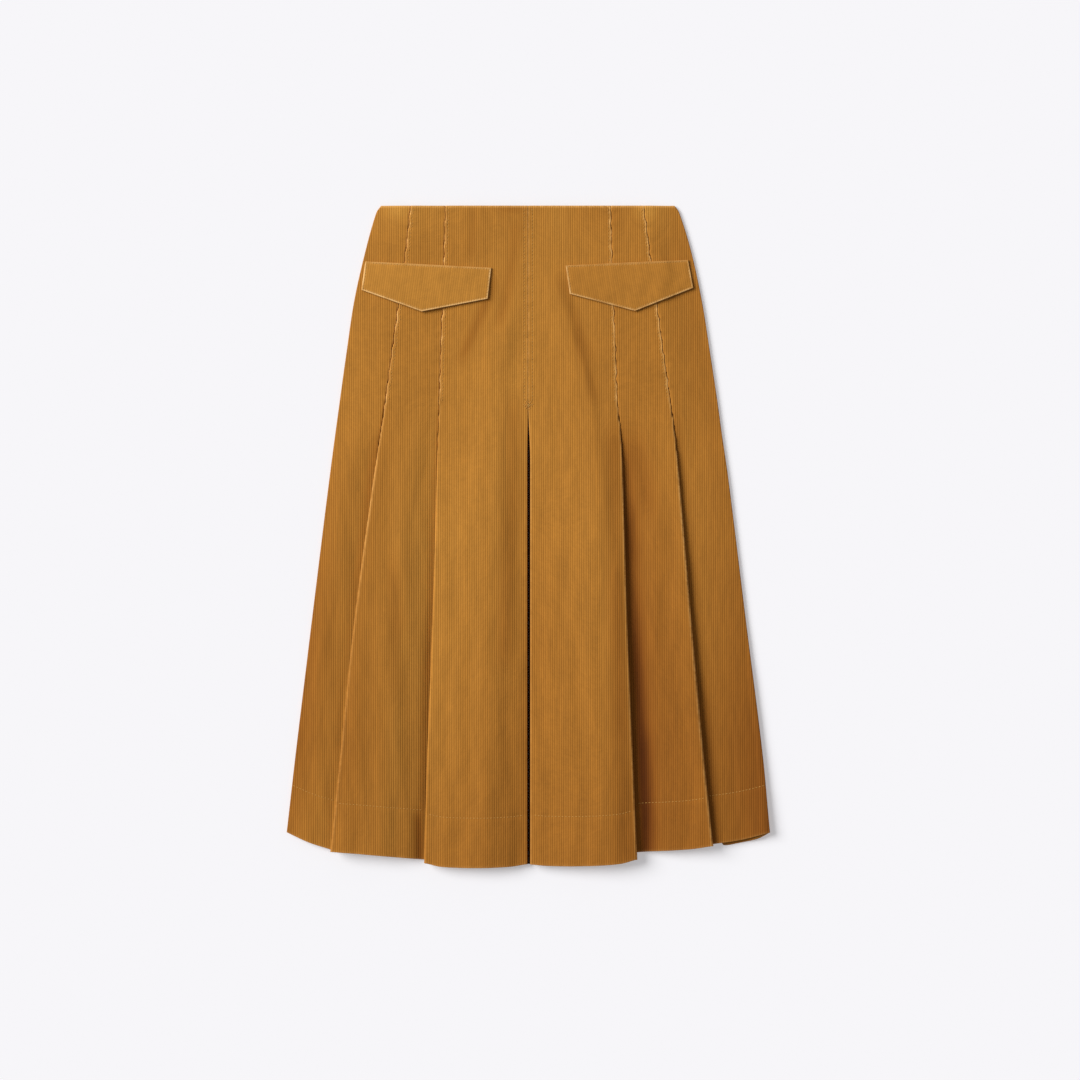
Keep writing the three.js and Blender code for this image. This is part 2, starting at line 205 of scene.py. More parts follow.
def rounded(inset: Array | float, half: float) -> Array | float:
    """Return how thick half a cloth is near an edge that is rounded over."""
    near = np.clip(np.asarray(inset, float) / half, 0.0, 1.0)
    return half * np.sqrt(np.clip(1 - (1 - near) ** 2, 0.0025, 1))


def curl(past: Array, radius: Array) -> Row:
    """Turn the cloth that lies past a folded edge round it and under.

    Args:
        past: How far past the edge each place lies along the cloth.
        radius: The fold's radius at each place.

    Returns:
        How far out of the edge the places lie, and how far below it.
    """
    angle = np.clip(past / radius, 0, np.pi)
    return radius * np.sin(angle), radius * (1 - np.cos(angle))


def spread(size: int, *columns: Array | float) -> Array:
    """Return columns side by side, with single values repeated down theirs."""
    whole = [np.broadcast_to(np.asarray(column, float), (size,)) for column in columns]
    return np.column_stack(whole)


def rib_places(start: float, stop: float, phases: tuple[float, ...]) -> Array:
    """Return the places across the grain, from stop to start, at some phases of each rib."""
    numbers = np.arange(math.floor(stop / RIB_PITCH), math.ceil(start / RIB_PITCH) + 1)
    return (numbers[:, None] * RIB_PITCH + np.array(phases) * RIB_PITCH).ravel()


def between(start: float, places: Array, stop: float) -> Array:
    """Return a row's places from start to stop, without those that crowd its two ends."""
    kept = places[(places < start - RIM_ROOM) & (places > stop + RIM_ROOM)]
    return np.concatenate([[start], np.sort(kept)[::-1], [stop]])


def sparse(size: int, every: int, extra: tuple[int, ...]) -> Array:
    """Return the numbers of each few of some rows, and of extra ones, counted from either end."""
    return np.unique(np.concatenate([np.arange(0, size, every), np.array(extra) % size]))


def into_scene(name: str, mesh: bpy.types.Mesh) -> bpy.types.Object:
    """Put a mesh into the scene with smooth faces.

    Args:
        name: The new object's name.
        mesh: Its mesh.

    Returns:
        The object.
    """
    mesh.shade_smooth()
    piece = bpy.data.objects.new(name, mesh)
    bpy.context.scene.collection.objects.link(piece)
    return piece


class Side(Enum):
    """The two halves of the skirt, with the sign of their x."""

    LEFT = -1
    RIGHT = 1

    @property
    def word(self) -> str:
        """Return the half's name in lower case."""
        return self.name.lower()


class Panel(Enum):
    """The three panels of a front half that show, from the side seam to the centre front."""

    SIDE = "side"
    MIDDLE = "middle"
    CENTRE = "centre"


@dataclass(frozen=True)
class Track:
    """A smooth curve through a few values at increasing places."""

    places: tuple[float, ...]
    values: tuple[float, ...]

    def __call__(self, place: Array | float) -> Array:
        """Return the curve's value at each place.

        Args:
            place: Where to read the curve.

        Returns:
            The values, in the shape of place.
        """
        keys, vals = np.array(self.places, float), np.array(self.values, float)
        last = len(keys) - 1
        b = np.clip(np.searchsorted(keys, place, side="right"), 1, last)
        a = b - 1
        before, after = np.maximum(0, a - 1), np.minimum(last, b + 1)
        span = keys[b] - keys[a]
        s = (place - keys[a]) / span
        slope_a = (vals[b] - vals[before]) / (keys[b] - keys[before]) * span
        slope_b = (vals[after] - vals[a]) / (keys[after] - keys[a]) * span
        return (
            vals[a] * (2 * s**3 - 3 * s**2 + 1)
            + slope_a * (s**3 - 2 * s**2 + s)
            + vals[b] * (3 * s**2 - 2 * s**3)
            + slope_b * (s**3 - s**2)
        )


@dataclass(frozen=True)
class Lay:
    """How far the side seam and the two knife-pleat edges lie from the centre front."""

    down: tuple[float, ...]
    edge: tuple[float, ...]
    outer: tuple[float, ...]
    inner: tuple[float, ...]


@dataclass(frozen=True)
class Hem:
    """Waist edge to hem across each panel, by its share from the outer edge to the inner one."""

    side: Track
    middle: Track
    centre: Track
    back: Track


@dataclass(frozen=True)
class Lift:
    """How far edges and crowns stand up at the hem.

    middle is the part of the outer lift that the middle panel keeps, and crown how far the
    centre panel stands off a straight line between its edges, both by share. loft is how far
    the folded front stands off the back, by its share of the way out to the side seam, and
    seam how far the side seam stands off the table at each distance down. step is how far the
    cloth beside a stitched pleat edge lies below it, and slit how far the centre edge opens.
    """

    outer: float
    inner: float
    centre: float
    side_crown: float
    outer_roll: float
    middle: Track
    crown: Track
    loft: Track
    seam: Track
    step: float
    slit: float


@dataclass(frozen=True)
class Crease:
    """A soft ridge, or a trough where its rise is below 0, that runs down one panel.

    outward and inward are its widths away from the centre front and towards it, and tone how
    much lighter its pile is painted, as a painted highlight, or darker as painted shade where it
    is below 0.
    """

    panel: Panel
    down: tuple[float, ...]
    dist: tuple[float, ...]
    rise: float
    outward: float
    inward: float
    fade: float = 45.0
    tone: float = 0.0

    def strength(self, dist: Array, down: Array) -> Array:
        """Return how strongly the crease shows, up to 1 along its line.

        Args:
            dist: Distances from the centre front.
            down: Distances from the waist edge.

        Returns:
            The strength at each place.
        """
        first, last = self.down[0], self.down[-1]
        line = Track(self.down, self.dist)(np.clip(down, first, last))
        off = dist - line
        width = np.where(off > 0, self.outward, self.inward)
        ends = ease((down - first) / self.fade + 0.5) * ease((last - down) / self.fade + 0.5)
        return ends * bell(off, width)


@dataclass(frozen=True)
class Corner:
    """A corner of a pocket flap."""

    dist: float
    down: float


@dataclass(frozen=True)
class FlapCut:
    """The five corners of a pocket flap."""

    outer_top: Corner
    inner_top: Corner
    inner_low: Corner
    point: Corner
    outer_low: Corner


@dataclass(frozen=True)
class PaintedShade:
    """Painted light and shade on the pile, down each panel's outer edge and down its inner one."""

    down: tuple[float, ...]
    side_outer: tuple[float, ...]
    side_inner: tuple[float, ...]
    middle_outer: tuple[float, ...]
    middle_inner: tuple[float, ...]
    centre_outer: tuple[float, ...]
    centre_inner: tuple[float, ...]

    def at(self, panel: Panel, share: Array, down: Array) -> Array:
        """Return the painted light and shade of one panel's pile.

        Args:
            panel: Which panel.
            share: How far the places lie from the panel's outer edge to its inner one.
            down: Distances from the waist edge.

        Returns:
            The shade at each place.
        """
        outer = np.interp(down, self.down, getattr(self, f"{panel.value}_outer"))
        inner = np.interp(down, self.down, getattr(self, f"{panel.value}_inner"))
        return mix(outer, inner, share)


@dataclass(frozen=True)
class Rub:
    """A soft patch of painted light on the pile, or of painted shade where its gain is below 0."""

    panel: Panel
    dist: float
    down: float
    across: float
    along: float
    gain: float

    def tone(self, dist: Array, down: Array) -> Array:
        """Return what the patch multiplies the pile's shade by at each place."""
        off = ((dist - self.dist) / self.across) ** 2 + ((down - self.down) / self.along) ** 2
        return 1 + self.gain * np.exp(-off)


@dataclass(frozen=True)
class EdgeWearAndHighlight:
    """How much each folded edge is lightened where the pleats hang open, by rubbing and by a
    painted highlight.

    Where the edges are stitched, ridge is a painted highlight on their tops, and sewn painted
    light on the cloth that lies against them, which lifts the shade in the seam's groove. low is
    the part of its lightening that an edge keeps towards the hem.
    """

    outer: float
    inner: float
    centre: float
    sewn: float
    ridge: float
    low: float


@dataclass(frozen=True)
class Ripple:
    """A wave in the cloth whose crests sway from side to side."""

    length: float
    sway: float
    sway_length: float

    def at(self, place: Array, along: Array, turn: Array | float, shift: float = 0.0) -> Array:
        """Read the wave.

        Args:
            place: Places across its crests.
            along: Places along its crests.
            turn: Where its sway begins.
            shift: Where its crests begin.

        Returns:
            Its height at each place, from -1 to 1.
        """
        swayed = self.sway * np.sin(along / self.sway_length + turn)
        return np.sin(place / self.length + swayed + shift)


WIDE_RIPPLE = Ripple(length=6.3, sway=2.1, sway_length=71)
NARROW_RIPPLE = Ripple(length=3.9, sway=-1.7, sway_length=47)
PUCKER = Ripple(length=1.43, sway=2.2, sway_length=17)


@dataclass(frozen=True)
class Dashes:
    """Dashes of rubbing and painted highlight on a stitched edge, longer further down."""

    rate: float = 39.5
    growth: float = 101.0
    stray: float = 0.9
    stray_length: float = 13.0
    cut: float = 0.1
    blur: float = 0.5

    def at(self, down: Array, turn: float) -> Array:
        """Return how strongly the dashes show at distances down, from 0 to 1."""
        stray = self.stray * np.sin(down / self.stray_length + turn)
        phase = self.rate * np.log1p(down / self.growth) + turn + stray
        return ease((np.sin(phase) - self.cut) / self.blur)


@dataclass(frozen=True)
class Strip:
    """A strip of rubbing and painted highlight along a folded edge."""

    past: float
    width: float

    def at(self, off: Array) -> Array:
        """Return how strongly the strip shows at distances past the edge."""
        return bell(off - self.past, self.width)


KNIFE_STRIP = Strip(past=1.0, width=1.5)
CENTRE_STRIP = Strip(past=0.8, width=1.3)
RIDGE_STRIP = Strip(past=-0.3, width=0.8)
SEWN_STRIP = Strip(past=0.3, width=1.1)


@dataclass(frozen=True)
class Fold:
    """The places and heights of one folded edge, at one or more distances down."""

    edge: Array
    axis: Array
    radius: Array
    top: Array
    under: Array
    inside: Array


@dataclass(frozen=True)
class Section:
    """A front half's folds at one or more distances down."""

    open: Array
    taut: Array
    edge: Array
    outer: Fold
    inner: Fold
    centre: Fold


@dataclass(frozen=True)
class Half:
    """One half of the skirt: its cut, how it lies and how its cloth has creased."""

    side: Side
    lay: Lay
    hem: Hem
    lift: Lift
    flap: FlapCut
    creases: tuple[Crease, ...]
    # The pile's shade tables, its patches and its creases' tones are painted light and shade, and
    # so is each flap's shade; the edges and the flap's rims are lightened by rubbing and a painted
    # highlight.
    shade: PaintedShade
    painted_patches: tuple[Rub, ...]
    wear: EdgeWearAndHighlight
    flap_shade: float
    flap_rim: float

    def section(self, down: Array | float) -> Section:
        """Return the folds at some distances down.

        Args:
            down: Distances from the waist edge.

        Returns:
            The section, with an array for each place and height.
        """
        opened, tight = opening(down), taut(down)

        def fold(edge: Array, depths: tuple[float, float], lift: float, softness: float,
                 facing: int) -> Fold:
            """Work out one fold.

            Args:
                edge: How far its edge lies from the centre front.
                depths: How deep it is folded, at the waist and at the hem.
                lift: How far its top stands up at the hem.
                softness: How much its radius grows towards the hem.
                facing: 1 if its edge faces the side seam, and otherwise -1.

            Returns:
                The fold.
            """
            depth = mix(depths[0], depths[1], down / LENGTH)
            radius = mix(LAYER_PITCH / 2, SEWN_RADIUS, tight) + softness * opened
            top = PRESSED + lift * opened
            axis = edge - facing * (radius + CLOTH / 2)
            inside = edge - facing * (depth - LAYER_PITCH / 2)
            return Fold(edge, axis, radius, top, top - 2 * radius, inside)

        lay, lift = self.lay, self.lift
        turn = WAVER_TURN * self.side.value
        long, short = WAVER_LENGTHS
        waver = WAVER * tight * (np.sin(down / long + turn) + np.sin(down / short - turn))
        outer = Track(lay.down, lay.outer)(down) + waver
        inner = Track(lay.down, lay.inner)(down) - waver
        slit = mix(SEWN, lift.slit, ease(opened * 3))
        return Section(
            opened,
            tight,
            Track(lay.down, lay.edge)(down),
            fold(outer, OUTER_DEPTH, lift.outer, KNIFE_SOFTNESS, 1),
            fold(inner, INNER_DEPTH, lift.inner, KNIFE_SOFTNESS, 1),
            fold(slit, CENTRE_DEPTH, lift.centre, CENTRE_SOFTNESS, -1),
        )

    def seam_rise(self, dist: Array, down: Array) -> Array:
        """Return how far the side seam carries the cloth beside it off the table."""
        inward = Track(self.lay.down, self.lay.edge)(down) - dist
        return self.lift.seam(down) * ease(1 - inward / SEAM_REACH)

    def front_rise(self, dist: Array, down: Array) -> Array:
        """Find how far the folded front is carried off where pressed layers would lie.

        Args:
            dist: Distances from the centre front.
            down: Distances from the waist edge.

        Returns:
            The rise at each place.
        """
        share = np.clip(dist / Track(self.lay.down, self.lay.edge)(down), 0, 1)
        return opening(down) * self.lift.loft(share) + self.seam_rise(dist, down)

    def tone(self, panel: Panel, share: Array, dist: Array, down: Array) -> Array:
        """Return the painted light and shade of a panel's pile at each place.

        Args:
            panel: Which panel.
            share: How far the places lie from the panel's outer edge to its inner one.
            dist: Distances from the centre front.
            down: Distances from the waist edge.

        Returns:
            The painted shade at each place.
        """
        shade = self.shade.at(panel, share, down)
        for rub in self.painted_patches:
            if rub.panel is panel:
                shade = shade * rub.tone(dist, down)
        for crease in self.creases:
            if crease.panel is panel and crease.tone:
                shade = shade * (1 + crease.tone * crease.strength(dist, down))
        return shade

    def edge_wear(self, name: str, down: Array) -> Array:
        """Return how much a folded edge is lightened by rubbing and a painted highlight: in dashes
        where stitched, and more evenly below.

        Args:
            name: The fold's name.
            down: Distances from the waist edge.

        Returns:
            The lightening, from 0 to 1.
        """
        dash = Dashes().at(down, DASH_TURNS[name] + self.side.value) * DASH_STRENGTHS[name]
        dash = np.maximum(dash, self.wear.sewn)
        lower = ease((down - LOW_WEAR_AND_HIGHLIGHT[0]) / LOW_WEAR_AND_HIGHLIGHT[1])
        even = getattr(self.wear, name) * mix(1, self.wear.low, lower)
        return mix(dash, even, ease((down - EVEN_WEAR_AND_HIGHLIGHT[0]) / EVEN_WEAR_AND_HIGHLIGHT[1]))

    def ends(self, panel: Panel, at: Section) -> tuple[Array, Array]:
        """Find where a panel begins and ends.

        Args:
            panel: Which panel.
            at: The section to read.

        Returns:
            The distances of its outer edges and of its inner ones.
        """
        if panel is Panel.SIDE:
            return at.edge, at.outer.edge
        if panel is Panel.MIDDLE:
            return at.outer.axis, at.inner.edge
        return at.inner.axis, at.centre.axis

    def panel_height(self, panel: Panel, at: Section, share: Array) -> Array:
        """Return the height of the middle of the cloth across a panel, before its creases.

        Args:
            panel: Which panel.
            at: The section that the places lie in.
            share: How far the places lie from the panel's outer edge to its inner one.

        Returns:
            The heights.
        """
        if panel is Panel.SIDE:
            to_seam = (1 - share) * (at.edge - at.outer.edge)
            bridge = (2 * LAYER_PITCH - self.lift.step) * at.taut * ease(share)
            bridge = bridge * ease(to_seam / SEAM_DIVE)
            crown = self.lift.side_crown * mix(0.35, 1, at.open) * np.sin(np.pi * share)
            return BASE + bridge + crown
        if panel is Panel.MIDDLE:
            width = at.outer.axis - at.inner.edge
            level = (at.outer.axis - at.outer.inside + LAYER_PITCH) / width
            loose_fall = 1 - ease((share - level) / (1 - level))
            taut_fall = ease((1 - share) * width / SEAM_DIVE)
            stepped = taut_fall * (1 - self.lift.step / (2 * LAYER_PITCH) * ease(share * 1.2))
            layers = 2 * LAYER_PITCH * mix(loose_fall, stepped, at.taut)
            lift = self.lift.outer + self.lift.outer_roll * ease(share * width / ROLL_WIDTH)
            return BASE + layers + lift * at.open * self.lift.middle(share)
        return mix(at.inner.top, at.centre.top, share) + self.lift.crown(share) * at.open

    def relief(self, panel: Panel, at: Section, dist: Array, down: Array) -> Array:
        """Return how far creases, puckers and stitch rows raise a panel's cloth.

        Args:
            panel: Which panel.
            at: The section that the places lie in.
            dist: Distances from the centre front.
            down: Distances from the waist edge.

        Returns:
            The rise at each place.
        """
        total = np.zeros(np.broadcast(dist, down).shape)
        for crease in self.creases:
            if crease.panel is panel:
                total = total + crease.rise * crease.strength(dist, down)
        turn = self.side.value
        ripples = WIDE_RIPPLE.at(dist, down, turn, 1.3 * turn)
        ripples = ripples + NARROW_RIPPLE_SHARE * NARROW_RIPPLE.at(dist, down, -turn)
        total = total + (RIPPLE_STITCHED + RIPPLE_OPEN * at.open) * ripples
        stitched = ease((RELEASE + 6 - down) / 12)
        for seam, inset in self.seams(panel, at):
            near = np.abs(dist - seam)
            pucker = PUCKER.at(down, down, seam / 9) + np.sin(down / 2.6)
            pucker = pucker * (1 + 0.5 * np.sin(dist / 2.4 + down / 6))
            total = total + PUCKER_RISE * pucker * bell(near, PUCKER_REACH) * stitched
            total = total - FURROW_DEPTH * bell(near - inset, FURROW_WIDTH) * stitched
        return total

    def seams(self, panel: Panel, at: Section) -> list[tuple[Array, float]]:
        """List the sewn edges beside a panel.

        Args:
            panel: Which panel.
            at: The section to read.

        Returns:
            The distances of each edge, with the inset of its row of stitches.
        """
        if panel is Panel.MIDDLE:
            return [(at.outer.edge, STITCH_INSET), (at.inner.edge, NO_STITCHES)]
        if panel is Panel.CENTRE:
            return [(at.inner.edge, STITCH_INSET), (np.zeros_like(at.inner.edge), CENTRE_STITCH)]
        return [(at.outer.edge, NO_STITCHES)]

    @staticmethod
    def hem_relief(fall: Array | float) -> Array | float:
        """Return the furrow of the hem's stitching and the rise of the cloth doubled below it.

        Args:
            fall: Shares of the way from the waist to the hem.

        Returns:
            The rise at each share.
        """
        past = (fall - HEM_STITCH) * LENGTH
        press = bell((fall - 1) * LENGTH + 10, 2.2)
        return 0.3 * ease(past / 5) - 0.32 * bell(past, 1.6) - 0.22 * press

    def surface(self, panel: Panel, dist: Array, down: Array) -> Array:
        """Return the height of the ribs' tops, creased, at places on a panel.

        Args:
            panel: Which panel.
            dist: Distances from the centre front.
            down: Distances from the waist edge.

        Returns:
            The heights.
        """
        at = self.section(down)
        first, last = self.ends(panel, at)
        share = np.clip((first - dist) / (first - last), 0, 1)
        length = getattr(self.hem, panel.value)(share)
        height = self.panel_height(panel, at, share) + self.relief(panel, at, dist, down)
        height = np.maximum(height, BASE) + self.hem_relief(down / length)
        return height + CLOTH / 2 + self.front_rise(dist, down)

    def under_flap(self, dist: Array, down: Array) -> Array:
        """Find the front's height under a flap, smoothed over the stitched pleat edges.

        Args:
            dist: Distances from the centre front.
            down: Distances from the waist edge.

        Returns:
            The heights.
        """
        at = self.section(down)
        share = (at.edge - dist) / (at.edge - at.outer.edge)
        crowned = self.panel_height(Panel.SIDE, at, np.maximum(0, share))
        side = np.where(share < 1, crowned, BASE)
        fall = ease((dist - at.outer.edge) / FLAP_FALL)
        return mix(PRESSED, side, fall) + CLOTH / 2 + self.seam_rise(dist, down)


class Shell:
    """A closed mesh that is gathered row by row."""

    def __init__(self, name: str, sign: int) -> None:
        """Start an empty shell.

        Args:
            name: The name of the piece that it becomes.
            sign: The sign of x in its half of the skirt.
        """
        self.name = name
        self.sign = sign
        self.points: list[Array] = []
        self.cloth: list[Array] = []
        self.dress: list[Array] = []
        self.faces: list[tuple[int, ...]] = []
        self.count = 0

    def add(self, place: tuple[Array, Array, Array], grain: Array, wrong: float = 0.0,
            shade: Array | float = PLAIN_SHADE, wear: Array | float = 0.0,
            ribbed: Array | float = 0.0) -> Array:
        """Add vertices.

        Args:
            place: Their distances from the centre front, heights and distances down.
            grain: Their places across the grain.
            wrong: 1 on the wrong side of the cloth.
            shade: How light the pile is, with its painted light and shade.
            wear: How much the pile is lightened by rubbing and by a painted highlight.
            ribbed: How strongly the ribs show.

        Returns:
            The indices of the new vertices.
        """
        dist, height, down = place
        size = len(dist)
        xyz = np.column_stack([self.sign * dist, LENGTH / 2 - down, np.maximum(height, 0)])
        self.points.append(xyz * MM)
        self.cloth.append(spread(size, grain, down, wrong))
        self.dress.append(spread(size, shade, wear, ribbed))
        self.count += size
        return np.arange(self.count - size, self.count)

    def lace(self, a: Array, a_keys: Array, b: Array, b_keys: Array) -> None:
        """Fill the strip between two rows of vertices.

        Args:
            a: The first row.
            a_keys: Increasing keys, equal where a vertex has its match in the other row.
            b: The second row.
            b_keys: The second row's keys.
        """
        i, j = 0, 0
        while i < len(a) - 1 or j < len(b) - 1:
            next_a = a_keys[i + 1] if i < len(a) - 1 else math.inf
            next_b = b_keys[j + 1] if j < len(b) - 1 else math.inf
            if abs(next_a - next_b) < SAME_KEY:
                self.faces.append((a[i], a[i + 1], b[j + 1], b[j]))
                i, j = i + 1, j + 1
            elif next_a < next_b:
                self.faces.append((a[i], a[i + 1], b[j]))
                i += 1
            else:
                self.faces.append((a[i], b[j + 1], b[j]))
                j += 1

    def close(self, upper: list[Row], lower: list[Row], at: Array) -> None:
        """Fill two skins and the strips that join them all round.

        Args:
            upper: The rows of the skin that faces up, each with its keys.
            lower: The rows of the skin under it, each with its keys.
            at: The number of the upper row that each lower row lies under.
        """
        for (a, a_keys), (b, b_keys) in zip(upper, upper[1:]):
            self.lace(a, a_keys, b, b_keys)
        for (a, a_keys), (b, b_keys) in zip(lower, lower[1:]):
            self.lace(b, b_keys, a, a_keys)
        self.lace(*lower[0], *upper[0])
        self.lace(*upper[-1], *lower[-1])
        for end in (0, -1):
            self.lace(np.array([row[end] for row, _ in upper]), np.arange(len(upper)),
                      np.array([row[end] for row, _ in lower]), at)

    def finish(self) -> bpy.types.Object:
        """Make the shell's mesh, with its looks as attributes and its faces all pointing out.

        Returns:
            The shell as an object.
        """
        mesh = bpy.data.meshes.new(self.name)
        points = np.concatenate(self.points)
        mesh.from_pydata(points.tolist(), [], [tuple(map(int, face)) for face in self.faces])
        for name, rows in (("cloth", self.cloth), ("dress", self.dress)):
            layer = mesh.attributes.new(name, "FLOAT_VECTOR", "POINT")
            layer.data.foreach_set("vector", np.concatenate(rows).astype(np.float32).ravel())
        work = bmesh.new()
        work.from_mesh(mesh)
        bmesh.ops.recalc_face_normals(work, faces=work.faces)
        work.to_mesh(mesh)
        work.free()
        return into_scene(self.name, mesh)


@dataclass
class Points:
    """A row of points through a front half, from the side seam in, or one stretch of it."""

    key: Array
    dist: Array
    height: Array
    down: Array
    grain: Array
    inset: Array
    shade: Array
    wear: Array
    ribbed: Array

    @classmethod
    def of(cls, **columns: Array | float) -> "Points":
        """Return points, with single values spread over all of them."""
        size = len(columns["dist"])
        return cls(**{name: spread(size, values)[:, 0] for name, values in columns.items()})

    @classmethod
    def joined(cls, stretches: list["Points"]) -> "Points":
        """Return one row that is made of its stretches in order."""
        names = cls.__dataclass_fields__
        return cls(*(np.concatenate([getattr(s, name) for s in stretches]) for name in names))

    def wrong_way(self) -> Row:
        """Find the direction square to the row at each point, towards the wrong side.

        Returns:
            The direction's part along the distances, and its part upwards.
        """
        along, up = np.diff(self.dist), np.diff(self.height)
        size = np.hypot(along, up) + TINY
        along, up = along / size, up / size
        along = np.concatenate([along[:1], along[:-1] + along[1:], along[-1:]])
        up = np.concatenate([up[:1], up[:-1] + up[1:], up[-1:]])
        size = np.hypot(along, up) + TINY
        return -up / size, along / size


@dataclass
class FrontHalf:
    """One length of corduroy, folded into two knife pleats and half the centre pleat."""

    half: Half
    top_step: float = 3.2
    low_step: float = 8.5
    hem_step: float = 2.6
    inner_every: int = 3
    inner_ribs: int = 2
    stretch_span: float = 1000.0
    settle_rounds: int = 6

    def falls(self) -> Array:
        """Lay out the rows, closer where the cloth is stitched and at the hem.

        Returns:
            The shares of the way from the waist to the hem that they lie at.
        """
        stretches = (
            (RIM[1], 0.008, 3.0),
            (0.008, RELEASE / LENGTH, self.top_step),
            (RELEASE / LENGTH, 0.905, self.low_step),
            (0.905, 0.945, self.hem_step),
            (0.945, 0.992, 6.0),
            (0.992, 1 - RIM[2], 2.2),
        )
        rows = [np.arange(first, last, step / LENGTH) for first, last, step in stretches]
        ends = [0.0, RIM[0], 1 - RIM[2], 1 - RIM[1], 1 - RIM[0], 1.0]
        return np.unique(np.concatenate([*rows, ends]))

    def columns(self, start: float, stop: float, outer: float | None, inner: float) -> Array:
        """Return the places across the grain at which a row has points.

        Args:
            start: The row's first place, farthest from the centre front.
            stop: The row's last place.
            outer: Where the outer folded edge begins to turn, if there is one.
            inner: Where the inner edge lies, beyond which the cloth is folded.

        Returns:
            The places, from start to stop.
        """
        finer = rib_places(start, stop, FOLD_PHASES)
        rim = start - np.array(RIM_INSETS) if outer is None else finer[finer > outer]
        places = [rib_places(start, stop, RIB_PHASES), rim, finer[finer < inner]]
        return between(start, np.concatenate(places), stop)

    def settle(self, panel: Panel, fall: float, flat: Array) -> tuple[Array, Array]:
        """Find where on a panel the places of one row lie.

        How far down a place lies depends on its share of the way across the panel, and the
        panel's edges depend on how far down it lies, so the two are found by turns.

        Args:
            panel: Which panel.
            fall: The row's share of the way from the waist to the hem.
            flat: Distances from the centre front.

        Returns:
            The shares from the panel's outer edge to its inner one, and the distances down.
        """
        length = getattr(self.half.hem, panel.value)
        share = np.full_like(flat, 0.5)
        for _ in range(self.settle_rounds):
            down = fall * length(np.clip(share, 0, 1))
            outer, inner = self.half.ends(panel, self.half.section(down))
            share = (outer - flat) / (outer - inner)
        share = np.clip(share, 0, 1)
        return share, fall * length(share)

    def panel_row(self, stretch: int, panel: Panel, fall: float) -> Points:
        """Lay the points across one panel and round its folded edges.

        Args:
            stretch: The panel's number along the row, which its keys start from.
            panel: Which panel.
            fall: The row's share of the way from the waist to the hem.

        Returns:
            The points.
        """
        half = self.half
        length = getattr(half.hem, panel.value)
        ends = [half.section(fall * length(np.array([share]))) for share in (0.0, 1.0)]
        first = float(half.ends(panel, ends[0])[0][0])
        last = float(half.ends(panel, ends[1])[1][0])
        name = {Panel.MIDDLE: "outer", Panel.CENTRE: "inner"}.get(panel)
        start, stop = first, last
        if name:
            start = first + np.pi * float(getattr(ends[0], name).radius[0])
        if panel is Panel.CENTRE:
            stop = last - np.pi * float(ends[1].centre.radius[0])
        grain = self.columns(start, stop, first if name else None, last)
        flat = np.clip(grain, last, first)
        share, down = self.settle(panel, fall, flat)
        at = half.section(down)
        height = half.panel_height(panel, at, share) + half.relief(panel, at, flat, down)
        height = np.maximum(height, BASE) + half.hem_relief(fall)
        # Folded edges are lightened by rubbing and by a painted highlight.
        dist, wear = flat, np.zeros_like(flat)
        if name:
            out, below = curl(grain - first, getattr(at, name).radius)
            dist, height = dist + out, height - below
            wear = wear + half.edge_wear(name, down) * KNIFE_STRIP.at(grain - first)
        if panel is Panel.CENTRE:
            out, below = curl(last - grain, at.centre.radius)
            dist, height = dist - out, height - below
            wear = wear + half.edge_wear("centre", down) * CENTRE_STRIP.at(last - grain)
        # Where stitched, the fold's ridge gets a painted highlight, and the cloth beside it
        # painted light that lifts the shade in the seam's groove.
        held = at.taut * ease((RELEASE + 10 - down) / 20)
        if name:
            wear = wear + half.wear.ridge * held * RIDGE_STRIP.at(grain - first)
        if panel is not Panel.CENTRE:
            wear = wear + half.wear.sewn * held * SEWN_STRIP.at(grain - last)
        key = (stretch + 0.5) * self.stretch_span - grain
        key[0], key[-1] = stretch * self.stretch_span, (stretch + 1) * self.stretch_span
        # shade is the panel's painted light and shade.
        return Points.of(
            key=key,
            dist=dist,
            height=height + half.front_rise(dist, down),
            down=down,
            grain=grain,
            inset=start - grain if panel is Panel.SIDE else INSIDE,
            shade=half.tone(panel, share, flat, down),
            wear=wear,
            ribbed=1.0,
        )

    def hidden_row(self, stretch: int, fall: float) -> Points:
        """Lay the points of the cloth that is folded under the next panel.

        Args:
            stretch: The number along the row that the keys start from.
            fall: The row's share of the way from the waist to the hem.

        Returns:
            The points.
        """
        knife = stretch < 5
        places = self.knife_place(stretch, fall) if knife else self.centre_place(fall)
        dist, height, down = np.array(places).T
        # The cloth folded under the pleats is darkened as painted shade, and inside the slit as
        # painted shadow.
        return Points.of(
            key=stretch * self.stretch_span + (np.arange(len(dist)) + 1) * 20.0,
            dist=dist,
            height=height + self.half.front_rise(dist, down),
            down=down,
            grain=400.0 + 30.0 * stretch + dist,
            inset=INSIDE,
            shade=HIDDEN_PAINTED_SHADE if knife else SLIT_PAINTED_SHADOW,
            wear=0.0,
            ribbed=0.0,
        )

